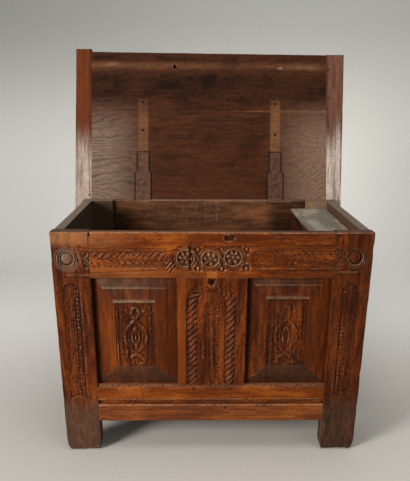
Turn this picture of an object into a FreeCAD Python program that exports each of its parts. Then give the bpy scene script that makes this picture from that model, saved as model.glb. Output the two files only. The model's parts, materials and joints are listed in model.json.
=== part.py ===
import FreeCAD, Part
import os
import re
import Sketcher

# Joined oak coffer: pegged frame, panels in grooves, boarded lid on strap hinges, till inside.
# X is to the right of the front, Y goes to the back, Z is up, the floor is at zero.
# The carcass is worked out from its own middle and then shifted in Y by the Placement of each piece.

DOC = FreeCAD.newDocument("coffer_chest")
DIMS = DOC.addObject("Spreadsheet::Sheet", "dims")

SIZES = (
    ("chest_width", 900, "outside width over the stiles"),
    ("chest_depth", 495, "outside depth over the stiles"),
    ("chest_height", 705, "floor to rim, without the lid"),
    ("stile_width", 106, "stile, seen from the front"),
    ("stile_depth", 42, "stile, front to back"),
    ("foot_height", 106, "floor to the underside of the bottom rails"),
    ("top_rail_height", 132, "top rails"),
    ("bottom_rail_height", 125, "bottom rails"),
    ("rail_thickness", 28, "front and back rails and muntins"),
    ("side_rail_thickness", 27, "end rails"),
    ("side_inset", 5, "end rails set in from the stile faces"),
    ("muntin_width", 200, "middle uprights, front and back"),
    ("muntin_shoulder", 26, "muntin edge to its tenon"),
    ("muntin_tenon", 40, "length of the muntin tenons"),
    ("tenon_thickness", 9, "all frame tenons"),
    ("tenon_length", 50, "tenons of front and back rails"),
    ("side_tenon_length", 28, "tenons of end rails"),
    ("tenon_shoulder", 20, "rail edge to its tenon"),
    ("tenon_end_gap", 1, "left free at the bottom of mortises and bores"),
    ("joint_play", 0.1, "cheek of a tenon to its mortise"),
    ("peg_radius", 4.5, "drawn pegs"),
    ("peg_length", 36, "drawn pegs"),
    ("peg_fit", 0.05, "radial fit of pegs, pins and nails"),
    ("peg_margin", 20, "end of a tenon to its peg"),
    ("muntin_peg_inset", 13, "rail edge to the pegs of the muntin"),
    ("groove_width", 8, "panel grooves"),
    ("groove_depth", 10, "panel grooves"),
    ("panel_play", 0.2, "panel edge to the groove, each face"),
    ("panel_slack", 1, "panel edge to the bottom of the groove"),
    ("panel_gap", 1.2, "foot of the bevel to the frame"),
    ("bevel_width", 33, "edge of the opening to the first step of a front panel"),
    ("bevel_rise", 2.2, "first bevel"),
    ("step_rise", 1, "small step between the bevels"),
    ("field_margin", 68, "edge of the opening to the field of a front panel"),
    ("field_rise", 2.8, "second bevel"),
    ("back_bevel", 40, "bevel on the plain panels"),
    ("back_rise", 3.5, "rise of the plain panels"),
    ("chamfer_depth", 7, "chamfer along the top of the front bottom rail"),
    ("chamfer_height", 8, "chamfer along the top of the front bottom rail"),
    ("moulding_drop", 51, "top of the front bottom rail to its moulding"),
    ("hollow_depth", 4, "hollow of the moulding"),
    ("hollow_width", 11, "hollow of the moulding"),
    ("bead_inset", 0.7, "beads of the moulding, set back from the face"),
    ("bead_width", 3.7, "beads of the moulding"),
    ("quirk_depth", 2.5, "quirks beside the beads"),
    ("quirk_slope", 1.5, "each slope of the moulding, along the face"),
    ("carve_depth", 3, "ground of the carving below the face"),
    ("frieze_rise", 20, "lower edge of the top rail to the carved frieze"),
    ("frieze_drop", 36, "rim to the carved frieze"),
    ("frieze_low", "=chest_height - top_rail_height + frieze_rise", "lower line of the carved frieze"),
    ("frieze_high", "=chest_height - frieze_drop", "upper line of the carved frieze"),
    ("roundel_left", 81, "middle of the chest to the left roundel of the frieze"),
    ("roundel_middle", 5, "middle of the chest to the middle roundel, on its left"),
    ("roundel_right", 57, "middle of the chest to the right roundel of the frieze"),
    ("roundel_radius", 30, "roundels of the frieze"),
    ("roundel_ring", 5, "width of a roundel's outer band"),
    ("roundel_boss", 18, "radius of a roundel's inner disc"),
    ("roundel_height", "=(frieze_low + frieze_high)/2", "floor to the centres of the roundels"),
    ("stile_roundel", 33, "roundels on the stiles"),
    ("stile_roundel_cut", 6, "width of the ring cut in a stile's roundel"),
    ("stile_carve_inset", 48, "edge of a stile to the middle of its carved strip"),
    ("stile_carve_offset", "=chest_width/2 - stile_carve_inset", "middle of the chest to the carved strips"),
    ("stile_carve_width", 50, "carved strips of the stiles"),
    ("stile_carve_rise", 78, "underside of the bottom rails to the carved strips"),
    ("stile_carve_drop", 145, "rim to the carved strips"),
    ("stile_carve_low", "=foot_height + stile_carve_rise", "lower end of the carved strips"),
    ("stile_carve_high", "=chest_height - stile_carve_drop", "upper end of the carved strips"),
    ("arch_width", 148, "sunk arch of the muntin"),
    ("arch_radius", 79, "head of the sunk arch"),
    ("arch_drop", 9, "underside of the top rail to the crown of the arch"),
    ("arch_crown", "=chest_height - top_rail_height - arch_drop", "floor to the crown of the arch"),
    ("flute_width", 32, "flute in the middle of the arch"),
    ("flute_depth", 3, "flute below the ground of the arch"),
    ("flute_rise", 15, "top of the bottom rail to the flute"),
    ("flute_drop", 59, "crown of the arch to the flute"),
    ("flute_low", "=foot_height + bottom_rail_height + flute_rise", "lower end of the flute"),
    ("flute_high", "=arch_crown - flute_drop", "upper end of the flute"),
    ("patch_width", 30, "let-in block over the keyhole"),
    ("patch_height", 20, "let-in block over the keyhole"),
    ("patch_depth", 7, "let-in block over the keyhole"),
    ("patch_fit", 0.1, "let-in block to its seat"),
    ("key_radius", 5.5, "round part of the keyhole"),
    ("key_slot", 5, "width of the keyhole slot"),
    ("key_drop", 14, "length of the keyhole slot"),
    ("floor_rise", 26, "underside of the bottom rails to the floor boards"),
    ("floor_thickness", 14, "floor boards"),
    ("floor_tongue", 9, "floor boards in the grooves of the rails"),
    ("floor_play", 0.3, "floor boards to grooves and stiles"),
    ("floor_gap", 0.6, "between the floor boards"),
    ("till_drop", 25, "rim to the top of the till lid"),
    ("till_lid_thickness", 9, "till lid"),
    ("till_reach", 125, "width of the till lid"),
    ("till_wall_gap", 3, "till lid to the end rail"),
    ("till_end_gap", 1, "till lid to the stiles"),
    ("till_inside", 70, "depth inside the till"),
    ("till_board", 10, "side and bottom of the till"),
    ("till_nosing", 6, "till lid beyond the till side"),
    ("nosing_chamfer", 3, "edges of the nosing"),
    ("nosing_strip", 20, "edge of the till lid to the line scratched along it"),
    ("nosing_line", 1.5, "half width and depth of the line"),
    ("till_rest_gap", 0.3, "till lid above the till side"),
    ("till_housing", 5, "till boards let into rails and side"),
    ("pintle_radius", 4, "wooden pintles of the till lid"),
    ("pintle_length", 12, "wooden pintles of the till lid"),
    ("pintle_inset", 6, "edge of the till lid to its pintles"),
    ("knuckle_radius", 6, "hinge knuckles"),
    ("lid_overhang", 34, "lid beyond each end of the chest"),
    ("lid_front_overhang", 27, "lid boards beyond the front of the chest"),
    ("lid_width", "=chest_width + 2*lid_overhang", "lid, over the cleats"),
    ("lid_thickness", 22, "lid boards and cleats"),
    ("lid_reach", "=chest_depth + knuckle_radius + lid_front_overhang", "hinge pin to the front of the lid"),
    ("lid_front_board_width", 204, "front board of the lid"),
    ("lid_gap", 0.3, "shut lid above the rim"),
    ("lid_stop_gap", 0.3, "open lid to the back of the chest"),
    ("board_gap", 0.4, "between the lid boards"),
    ("open_angle", 108, "opening of the lid, as it leans on its stop"),
    ("cleat_width", 57, "end cleats of the lid"),
    ("cleat_tongue", 14, "tongues of the boards in the cleats"),
    ("cleat_tongue_thickness", 8, "tongues of the boards in the cleats"),
    ("left_cleat_proud", 10, "left cleat beyond the front edge of the boards"),
    ("right_cleat_proud", 2, "right cleat beyond the front edge of the boards"),
    ("cleat_peg_radius", 4, "pegs of the cleats"),
    ("cleat_peg_margin", 50, "edges of the lid boards to the pegs of the cleats"),
    ("hinge_offset", 240, "middle of the chest to the middle of a hinge"),
    ("strap_thickness", 3.5, "hinge straps"),
    ("strap_proud", 2, "strap below the face of the lid"),
    ("strap_base_width", 54, "strap next to the pin"),
    ("strap_base_length", 98, "strap next to the pin"),
    ("strap_shoulder", 6, "slope between base and neck"),
    ("strap_neck_width", 39, "narrow end of the strap"),
    ("strap_length", 173, "pin to the broken end of the strap"),
    ("strap_seat", 0.3, "strap to its seat in the wood, at the edges"),
    ("strap_notch", 2.6, "notch for the strap in the back rail"),
    ("notch_side", 1, "notch to the sides of the strap"),
    ("knuckle_width", 18, "middle knuckle, on the lid strap"),
    ("knuckle_gap", 0.4, "between the knuckles"),
    ("pin_radius", 3, "hinge pins"),
    ("knuckle_pocket", 5.5, "pocket for the knuckles in the lid"),
    ("back_strap_length", 112, "strap down the back"),
    ("nail_radius", 2.5, "shanks of the nails"),
    ("nail_length", 14, "nails below the face of the strap"),
    ("nail_head_radius", 6, "heads of the nails"),
    ("nail_head_rise", 2, "heads of the nails"),
    ("nail_near", 62, "pin to the first nail of a strap"),
    ("nail_far", 150, "pin to the second nail of the lid straps"),
    ("back_nail_near", 52, "pin to the first nail of the back straps"),
    ("back_nail_far", 98, "pin to the second nail of the back straps"),
    ("over", 1, "cuts run past the face that they open in"),
)
for row, (alias, value, note) in enumerate(SIZES, 1):
    DIMS.set("A%d" % row, note)
    DIMS.set("B%d" % row, str(value))
    DIMS.setAlias("B%d" % row, alias)
DOC.recompute()

NAMES = re.compile(r"\b(%s)\b" % "|".join(alias for alias, value, note in SIZES))
PIECES = []
PEG_SIDES = 8
NAIL_SIDES = 4
AXIS_X = FreeCAD.Vector(1, 0, 0)
AXIS_Y = FreeCAD.Vector(0, 1, 0)
AXIS_Z = FreeCAD.Vector(0, 0, 1)
TURNS = {"X": FreeCAD.Rotation(AXIS_Y, 90), "Y": FreeCAD.Rotation(AXIS_X, -90), "Z": FreeCAD.Rotation()}

# Places that several pieces share, as distances from the middle of the carcass or from the floor
HALF_W = "chest_width/2"
HALF_D = "chest_depth/2"
STILE_X = "(chest_width/2 - stile_width)"
STILE_Y = "(chest_depth/2 - stile_depth)"
RAIL_IN = "(chest_depth/2 - rail_thickness)"
RAIL_MID = "(chest_depth/2 - rail_thickness/2)"
SIDE_IN = "(chest_width/2 - side_inset - side_rail_thickness)"
SIDE_OUT = "(chest_width/2 - side_inset)"
SIDE_MID = "(chest_width/2 - side_inset - side_rail_thickness/2)"
RIM = "chest_height"
TOP_LOW = "(chest_height - top_rail_height)"
LOW_TOP = "(foot_height + bottom_rail_height)"
TOP_TENON = (TOP_LOW + " + tenon_shoulder", "chest_height - tenon_shoulder")
LOW_TENON = ("foot_height + tenon_shoulder", LOW_TOP + " - tenon_shoulder")
MUNTIN_X = "muntin_width/2"
MUNTIN_TENON_X = "(muntin_width/2 - muntin_shoulder)"
MUNTIN_PEG_X = "(muntin_width/2 - muntin_shoulder - peg_margin)"
PEG_X = "(chest_width/2 - stile_width + tenon_length/2)"
PEG_Y = "(chest_depth/2 - stile_depth + side_tenon_length/2)"
PEG_ROWS = tuple(
    edge for low, high in (TOP_TENON, LOW_TENON)
    for edge in (low + " + peg_margin", high + " - peg_margin"))
MUNTIN_ROWS = (TOP_LOW + " + muntin_peg_inset", LOW_TOP + " - muntin_peg_inset")
GROOVE_X = ("%s - groove_width/2" % SIDE_MID, "%s + groove_width/2" % SIDE_MID)
GROOVE_Y = ("%s - groove_width/2" % RAIL_MID, "%s + groove_width/2" % RAIL_MID)
THROUGH = (RAIL_IN + " - over", HALF_D + " + over")
FACE = ("-(%s) - over" % HALF_D, "-(%s) + carve_depth" % HALF_D)
DEEP = ("-(%s) - 2*over" % HALF_D, "-(%s) + carve_depth + over" % HALF_D)
PEG_HOLE = "peg_radius + peg_fit"
NAIL_HOLE = "nail_radius + peg_fit"
PIN_HOLE = "pin_radius + peg_fit"
FLOOR_LOW = "(foot_height + floor_rise)"
FLOOR_TOP = "(foot_height + floor_rise + floor_thickness)"
LOWER_GROOVE = (LOW_TOP + " - groove_depth", LOW_TOP + " + over")
UPPER_GROOVE = (TOP_LOW + " - over", TOP_LOW + " + groove_depth")

# The hinge pin, and the lid measured from it
PIN_Y = "(chest_depth/2 + knuckle_radius)"
STRAP_TOP = "knuckle_radius"
STRAP_FACE = "(knuckle_radius - strap_thickness)"
UNDERSIDE = "(knuckle_radius - strap_thickness + strap_proud)"
PIN_Z = "(chest_height + lid_gap - %s)" % UNDERSIDE
UPSIDE = "(%s + lid_thickness)" % UNDERSIDE
REAR = "((knuckle_radius + %s*sin(open_angle) - lid_stop_gap)/(-cos(open_angle)))" % UNDERSIDE
BACKMOST = ("(%s - (lid_reach + left_cleat_proud)*cos(open_angle) + %s*sin(open_angle))"
            % (PIN_Y, UPSIDE))
SHIFT = "((chest_depth/2 - %s)/2)" % BACKMOST
BOARD_X = "(lid_width/2 - cleat_width)"
BOARD_SPLIT = "(lid_front_board_width - lid_reach)"

# The till
TILL_TOP = "(chest_height - till_drop)"
TILL_UNDER = "(chest_height - till_drop - till_lid_thickness)"
TILL_LID_OUT = "(%s - till_wall_gap)" % SIDE_IN
TILL_LID_IN = "(%s - till_wall_gap - till_reach)" % SIDE_IN
TILL_SIDE_IN = "(%s + till_nosing)" % TILL_LID_IN
TILL_SIDE_OUT = "(%s + till_board)" % TILL_SIDE_IN
TILL_FLOOR = "(%s - till_inside)" % TILL_UNDER
TILL_LOW = "(%s - till_board)" % TILL_FLOOR
PINTLE_X = "(%s - pintle_inset)" % TILL_LID_OUT
PINTLE_Z = "(%s - till_lid_thickness/2)" % TILL_TOP


def text(expression):
    return NAMES.sub(r"dims.\1", expression)


def bind(item, **cells):
    for prop, expression in cells.items():
        item.setExpression(prop.replace("__", "."), text(expression))


def place(item, x, y, z):
    bind(item, Placement__Base__x=x, Placement__Base__y=y, Placement__Base__z=z)


def span(sign, near, far):
    return (near, far) if sign > 0 else ("-(%s)" % far, "-(%s)" % near)


def sided(sign, place):
    return place if sign > 0 else "-(%s)" % place


def both(half):
    return ("-(%s)" % half, half)


def around(middle, half):
    return ("%s - (%s)" % (middle, half), "%s + (%s)" % (middle, half))


def box(name, xs, ys, zs):
    item = DOC.addObject("Part::Box", name)
    bind(item, Length="(%s) - (%s)" % (xs[1], xs[0]), Width="(%s) - (%s)" % (ys[1], ys[0]),
         Height="(%s) - (%s)" % (zs[1], zs[0]))
    place(item, xs[0], ys[0], zs[0])
    return item


def lay(item, axis, start, u, v):
    if axis == "X":
        place(item, start, u, v)
    elif axis == "Y":
        place(item, u, start, v)
    else:
        place(item, u, v, start)


def rod(name, axis, ends, u, v, radius):
    item = DOC.addObject("Part::Cylinder", name)
    item.Placement = FreeCAD.Placement(FreeCAD.Vector(), TURNS[axis])
    bind(item, Radius=radius, Height="(%s) - (%s)" % (ends[1], ends[0]))
    lay(item, axis, ends[0], u, v)
    return item


def shaved(name, axis, ends, u, v, radius, sides=PEG_SIDES):
    item = DOC.addObject("Part::Prism", name)
    item.Polygon = sides
    item.Placement = FreeCAD.Placement(FreeCAD.Vector(), TURNS[axis])
    bind(item, Circumradius=radius, Height="(%s) - (%s)" % (ends[1], ends[0]))
    lay(item, axis, ends[0], u, v)
    return item


def frustum(name, axis, turn, x, y, z, wide, tall, rise, inset):
    item = DOC.addObject("Part::Wedge", name)
    item.Placement = FreeCAD.Placement(FreeCAD.Vector(), FreeCAD.Rotation(axis, turn))
    bind(item, Xmin="-(%s)/2" % wide, Xmax="(%s)/2" % wide, Ymin="0", Ymax=rise,
         Zmin="0", Zmax=tall, X2min="-(%s)/2 + %s" % (wide, inset), X2max="(%s)/2 - (%s)" % (wide, inset),
         Z2min=inset, Z2max="(%s) - (%s)" % (tall, inset))
    place(item, x, y, z)
    return item


def join(name, items):
    if len(items) == 1:
        return items[0]
    item = DOC.addObject("Part::MultiFuse", name)
    item.Shapes = items
    return item


def group(name, items):
    item = DOC.addObject("Part::Compound", name)
    item.Links = items
    return item


def carve(name, base, tools):
    item = DOC.addObject("Part::Cut", name)
    item.Base = base
    item.Tool = join(name + "_tools", tools)
    return item


def overlap(name, first, second):
    item = DOC.addObject("Part::Common", name)
    item.Base = first
    item.Tool = second
    return item


def piece(label, item):
    own = dict(item.ExpressionEngine).get(".Placement.Base.y", "0")
    item.Label = label
    bind(item, Placement__Base__y="%s + %s" % (own.replace("dims.", ""), SHIFT))
    PIECES.append(item)
    return item


def lid_piece(label, item):
    item.Label = label
    item.Placement = FreeCAD.Placement(FreeCAD.Vector(), FreeCAD.Rotation(-AXIS_X, DIMS.get("open_angle")))
    bind(item, Placement__Base__y=PIN_Y + " + " + SHIFT, Placement__Base__z=PIN_Z,
         Placement__Rotation__Angle="open_angle")
    PIECES.append(item)
    return item


def outline(body, name, plane, corners):
    sketch = body.newObject("Sketcher::SketchObject", name)
    support = [f for f in body.Origin.OriginFeatures if f.Role == plane][0]
    sketch.AttachmentSupport = [(support, "")]
    sketch.MapMode = "FlatFace"
    points = [FreeCAD.Vector(float(sketch.evalExpression(text(u))), float(sketch.evalExpression(text(v))), 0)
              for u, v in corners]
    for here, there in zip(points, points[1:] + points[:1]):
        sketch.addGeometry(Part.LineSegment(here, there), False)
    for edge in range(len(points)):
        sketch.addConstraint(Sketcher.Constraint("Coincident", edge, 2, (edge + 1) % len(points), 1))
    for edge, (u, v) in enumerate(corners):
        for kind, cell, value in (("DistanceX", u, points[edge].x), ("DistanceY", v, points[edge].y)):
            if value < 0:
                ends = (edge, 1, -1, 1)
                cell = "-(%s)" % cell
            else:
                ends = (-1, 1, edge, 1)
            index = sketch.addConstraint(Sketcher.Constraint(kind, *ends, abs(value)))
            sketch.setExpression("Constraints[%d]" % index, text(cell))
    return sketch


def pad(body, name, sketch, length, middle=False):
    feature = body.newObject("PartDesign::Pad", name)
    feature.Profile = sketch
    bind(feature, Length=length)
    feature.SideType = "Symmetric" if middle else "One side"
    return feature


# Stiles: four full-height posts whose lower ends are the feet
def stile(label, sx, sy):
    tools = []
    rail_y = around(RAIL_MID, "tenon_thickness/2 + joint_play")
    side_x = around(SIDE_MID, "tenon_thickness/2 + joint_play")
    rail_reach = (STILE_X + " - over", STILE_X + " + tenon_length + tenon_end_gap")
    side_reach = (STILE_Y + " - over", STILE_Y + " + side_tenon_length + tenon_end_gap")
    for low, high in (TOP_TENON, LOW_TENON):
        height = (low + " - joint_play", high + " + joint_play")
        tools.append(box(label + "_mortise", span(sx, *rail_reach), span(sy, *rail_y), height))
        tools.append(box(label + "_end_mortise", span(sx, *side_x), span(sy, *side_reach), height))
    run = (LOW_TOP + " - groove_depth", TOP_LOW + " + groove_depth")
    tools.append(box(label + "_groove", span(sx, STILE_X + " - over", STILE_X + " + groove_depth"),
                     span(sy, *GROOVE_Y), run))
    tools.append(box(label + "_end_groove", span(sx, *GROOVE_X),
                     span(sy, STILE_Y + " - over", STILE_Y + " + groove_depth"), run))
    front_bore = span(sy, HALF_D + " - peg_length - tenon_end_gap", HALF_D + " + over")
    end_bore = span(sx, HALF_W + " - peg_length - tenon_end_gap", HALF_W + " + over")
    for row in PEG_ROWS:
        tools.append(shaved(label + "_bore", "Y", front_bore, sided(sx, PEG_X), row, PEG_HOLE))
        tools.append(shaved(label + "_end_bore", "X", end_bore, sided(sy, PEG_Y), row, PEG_HOLE))
    if sy < 0:
        tools.extend(stile_carving(label, sided(sx, "stile_carve_offset")))
    if sx > 0:
        tools.append(rod(label + "_pintle_bore", "Y",
                         span(sy, STILE_Y + " - over", STILE_Y + " + pintle_length + tenon_end_gap"),
                         PINTLE_X, PINTLE_Z, "pintle_radius + peg_fit"))
    post = box(label + "_post", span(sx, STILE_X, HALF_W), span(sy, STILE_Y, HALF_D), ("0", RIM))
    return piece(label, carve(label, post, tools))


def stile_carving(label, middle):
    ends = ("stile_carve_low + stile_carve_width/2", "stile_carve_high - stile_carve_width/2")
    cuts = [box(label + "_strip", around(middle, "stile_carve_width/2"), FACE, ends)]
    for end in ends:
        cuts.append(rod(label + "_strip_end", "Y", FACE, middle, end, "stile_carve_width/2"))
    ring = rod(label + "_ring", "Y", FACE, middle, "roundel_height", "stile_roundel - roundel_ring")
    disc = rod(label + "_disc", "Y", DEEP, middle, "roundel_height",
               "stile_roundel - roundel_ring - stile_roundel_cut")
    cuts.append(carve(label + "_ring_cut", ring, [disc]))
    return cuts


# Rails of the front and back
def rail(label, sy, zs, tenon, groove, muntin_row, base=None, extra=()):
    stock = [base or box(label + "_board", both(STILE_X), span(sy, RAIL_IN, HALF_D), zs)]
    tools = [box(label + "_groove", both(STILE_X + " + over"), span(sy, *GROOVE_Y), groove)]
    for sx in (-1, 1):
        stock.append(box(label + "_tenon", span(sx, STILE_X, STILE_X + " + tenon_length"),
                         span(sy, *around(RAIL_MID, "tenon_thickness/2")), tenon))
        for row in (tenon[0] + " + peg_margin", tenon[1] + " - peg_margin"):
            tools.append(shaved(label + "_bore", "Y", span(sy, *THROUGH), sided(sx, PEG_X), row, PEG_HOLE))
        tools.append(shaved(label + "_muntin_bore", "Y", span(sy, *THROUGH),
                         sided(sx, MUNTIN_PEG_X), muntin_row, PEG_HOLE))
    socket = ((TOP_LOW + " - over", TOP_LOW + " + muntin_tenon + tenon_end_gap") if zs[1] == RIM
              else (LOW_TOP + " - muntin_tenon - tenon_end_gap", LOW_TOP + " + over"))
    tools.append(box(label + "_muntin_mortise", both(MUNTIN_TENON_X + " + joint_play"),
                     span(sy, *around(RAIL_MID, "tenon_thickness/2 + joint_play")), socket))
    tools.extend(extra)
    return piece(label, carve(label, join(label + "_stock", stock), tools))


def muntin(label, sy, extra=()):
    tenon_y = span(sy, *around(RAIL_MID, "tenon_thickness/2"))
    stock = [box(label + "_board", both(MUNTIN_X), span(sy, RAIL_IN, HALF_D), (LOW_TOP, TOP_LOW)),
             box(label + "_tenon", both(MUNTIN_TENON_X), tenon_y,
                 (LOW_TOP + " - muntin_tenon", TOP_LOW + " + muntin_tenon"))]
    tools = []
    for sx in (-1, 1):
        tools.append(box(label + "_groove", span(sx, MUNTIN_X + " - groove_depth", MUNTIN_X + " + over"),
                         span(sy, *GROOVE_Y), (LOW_TOP + " - over", TOP_LOW + " + over")))
        for row in MUNTIN_ROWS:
            tools.append(shaved(label + "_bore", "Y", span(sy, *THROUGH),
                             sided(sx, MUNTIN_PEG_X), row, PEG_HOLE))
    tools.extend(extra)
    return piece(label, carve(label, join(label + "_stock", stock), tools))


def side_rail(label, sx, zs, tenon, groove, extra=()):
    stock = [box(label + "_board", span(sx, SIDE_IN, SIDE_OUT), both(STILE_Y), zs)]
    tools = [box(label + "_groove", span(sx, *GROOVE_X), both(STILE_Y + " + over"), groove)]
    for sy in (-1, 1):
        stock.append(box(label + "_tenon", span(sx, *around(SIDE_MID, "tenon_thickness/2")),
                         span(sy, STILE_Y, STILE_Y + " + side_tenon_length"), tenon))
        for row in (tenon[0] + " + peg_margin", tenon[1] + " - peg_margin"):
            tools.append(shaved(label + "_bore", "X", span(sx, SIDE_IN, HALF_W),
                             sided(sy, PEG_Y), row, PEG_HOLE))
    tools.extend(extra)
    return piece(label, carve(label, join(label + "_stock", stock), tools))


OPEN_Z = "(%s - %s)" % (TOP_LOW, LOW_TOP)
OPEN_X = "(%s - %s)" % (STILE_X, MUNTIN_X)
TONGUE = "(groove_depth - panel_slack)"
PANEL_MIDDLE = "(%s + %s)/2" % (STILE_X, MUNTIN_X)
PANEL_FOOT = LOW_TOP + " + panel_gap"
PANEL_TALL = "(%s - 2*panel_gap)" % OPEN_Z
PANEL_WIDE = "(%s - 2*panel_gap)" % OPEN_X
PANEL_Z = (LOW_TOP + " - " + TONGUE, TOP_LOW + " + " + TONGUE)
PANEL_HALF = "(groove_width/2 - panel_play)"


# Panels of the front, raised and fielded in two bevels with a step between them
def fielded_panel(label, sx):
    middle = sided(sx, PANEL_MIDDLE)
    face = "-(%s) - %s" % (RAIL_MID, PANEL_HALF)
    step = face + " - bevel_rise"
    shelf_foot = LOW_TOP + " + bevel_width"
    shelf_wide = "(%s - 2*bevel_width)" % OPEN_X
    shelf_tall = "(%s - 2*bevel_width)" % OPEN_Z
    board = box(label + "_board", span(sx, MUNTIN_X + " - " + TONGUE, STILE_X + " + " + TONGUE),
                span(-1, *around(RAIL_MID, PANEL_HALF)), PANEL_Z)
    bevel = frustum(label + "_bevel", AXIS_Z, 180, middle, face, PANEL_FOOT, PANEL_WIDE, PANEL_TALL,
                    "bevel_rise", "bevel_width - panel_gap")
    shelf = box(label + "_step", around(middle, shelf_wide + "/2"),
                (step + " - step_rise", step + " + bevel_rise"), (shelf_foot, TOP_LOW + " - bevel_width"))
    field = frustum(label + "_field", AXIS_Z, 180, middle, step + " - step_rise", shelf_foot,
                    shelf_wide, shelf_tall, "field_rise", "field_margin - bevel_width")
    return piece(label, join(label, [board, bevel, shelf, field]))


def plain_panel(label, sx):
    board = box(label + "_board", span(sx, MUNTIN_X + " - " + TONGUE, STILE_X + " + " + TONGUE),
                around(RAIL_MID, PANEL_HALF), PANEL_Z)
    raised = frustum(label + "_raised", AXIS_Z, 0, sided(sx, PANEL_MIDDLE), RAIL_MID + " + " + PANEL_HALF,
                     PANEL_FOOT, PANEL_WIDE, PANEL_TALL, "back_rise", "back_bevel")
    return piece(label, join(label, [board, raised]))


def end_panel(label, sx):
    board = box(label + "_board", span(sx, *around(SIDE_MID, PANEL_HALF)), both(STILE_Y + " + " + TONGUE),
                PANEL_Z)
    face = "%s + %s" % (SIDE_MID, PANEL_HALF)
    raised = frustum(label + "_raised", AXIS_Z, -90 * sx, sided(sx, face), "0", PANEL_FOOT,
                     "2*(%s - panel_gap)" % STILE_Y, PANEL_TALL, "back_rise", "back_bevel")
    return piece(label, join(label, [board, raised]))


stile("front_left_stile", -1, -1)
stile("front_right_stile", 1, -1)
stile("back_left_stile", -1, 1)
stile("back_right_stile", 1, 1)

# Front top rail: sunk frieze with roundels left standing, seat of the let-in block, trench of the till
ground = box("frieze_ground", both(STILE_X + " + over"), FACE, ("frieze_low", "frieze_high"))
discs = []
rings = []
for spot in ("-roundel_left", "-roundel_middle", "roundel_right"):
    discs.append(rod("roundel", "Y", DEEP, spot, "roundel_height", "roundel_radius"))
    outer = rod("roundel_band", "Y", FACE, spot, "roundel_height", "roundel_radius - roundel_ring")
    inner = rod("roundel_boss", "Y", DEEP, spot, "roundel_height", "roundel_boss")
    rings.append(carve("roundel_ring", outer, [inner]))
trench = (TILL_LOW + " - over", TILL_UNDER + " + over")
frieze = [carve("frieze_sunk", ground, discs)] + rings
front_seat = box("patch_seat", both("patch_width/2 + patch_fit"),
                 ("-(%s) - over" % HALF_D, "-(%s) + patch_depth + patch_fit" % HALF_D),
                 (TOP_LOW + " - over", TOP_LOW + " + patch_height + patch_fit"))
front_trench = box("front_trench", (TILL_SIDE_IN + " - joint_play", TILL_SIDE_OUT + " + joint_play"),
                   span(-1, RAIL_IN + " - over", RAIL_IN + " + till_housing + joint_play"), trench)
rail("front_top_rail", -1, (TOP_LOW, RIM), TOP_TENON, UPPER_GROOVE, MUNTIN_ROWS[0],
     extra=frieze + [front_seat, front_trench])

# Front bottom rail: a chamfer, a flat, then a hollow and two beads worked along it
MOULDING_STEPS = (
    ("quirk_slope", "hollow_depth"), ("hollow_width", "hollow_depth"), ("2*quirk_slope", "quirk_depth"),
    ("quirk_slope", "bead_inset"), ("bead_width", "bead_inset"), ("quirk_slope", "quirk_depth"),
    ("quirk_slope", "bead_inset"), ("bead_width", "bead_inset"), ("quirk_slope", "quirk_depth"),
    ("quirk_slope", "0"))
drop = "moulding_drop"
moulding = [("0", "bottom_rail_height - (%s)" % drop)]
for along, inset in MOULDING_STEPS:
    drop += " + " + along
    moulding.append((inset, "bottom_rail_height - (%s)" % drop))
section = DOC.addObject("PartDesign::Body", "front_bottom_rail_section")
profile = outline(section, "front_bottom_rail_profile", "YZ_Plane", [
    ("0", "0"), ("rail_thickness", "0"), ("rail_thickness", "bottom_rail_height"),
    ("chamfer_depth", "bottom_rail_height"), ("0", "bottom_rail_height - chamfer_height")] + moulding)
pad(section, "front_bottom_rail_length", profile, "2*" + STILE_X, True)
place(section, "0", "-(%s)" % HALF_D, "foot_height")
FLOOR_SLOT = (FLOOR_LOW + " - floor_play", FLOOR_TOP + " + floor_play")
slot_y = (RAIL_IN + " - over", RAIL_IN + " + floor_tongue + over")
front_slot = box("front_floor_slot", both(STILE_X + " + over"), span(-1, *slot_y), FLOOR_SLOT)
rail("front_bottom_rail", -1, ("foot_height", LOW_TOP), LOW_TENON, LOWER_GROOVE, MUNTIN_ROWS[1],
     base=section, extra=[front_slot])

# Front muntin: sunk arch with a flute in it, keyhole at its head
arch_head = rod("arch_head", "Y", FACE, "0", "arch_crown - arch_radius", "arch_radius")
arch_sides = box("arch_sides", both("arch_width/2"), FACE, ("arch_crown - arch_radius", "arch_crown + over"))
arch_body = box("arch_body", both("arch_width/2"), FACE, (LOW_TOP + " - over", "arch_crown - arch_radius"))
flute_y = ("-(%s) - over" % HALF_D, "-(%s) + carve_depth + flute_depth" % HALF_D)
flute = box("flute", both("flute_width/2"), flute_y, ("flute_low", "flute_high - flute_width/2"))
flute_head = rod("flute_head", "Y", flute_y, "0", "flute_high - flute_width/2", "flute_width/2")
KEY_Z = "(%s - 1.5*key_radius)" % TOP_LOW
key_eye = rod("key_eye", "Y", span(-1, *THROUGH), "0", KEY_Z, "key_radius")
key_slot = box("key_slot_cut", both("key_slot/2"), span(-1, *THROUGH),
               (KEY_Z + " - key_drop", KEY_Z))
arch_top = overlap("arch_top", arch_head, arch_sides)
muntin("front_muntin", -1, [arch_top, arch_body, flute, flute_head, key_eye, key_slot])
fielded_panel("front_left_panel", -1)
fielded_panel("front_right_panel", 1)

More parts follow.
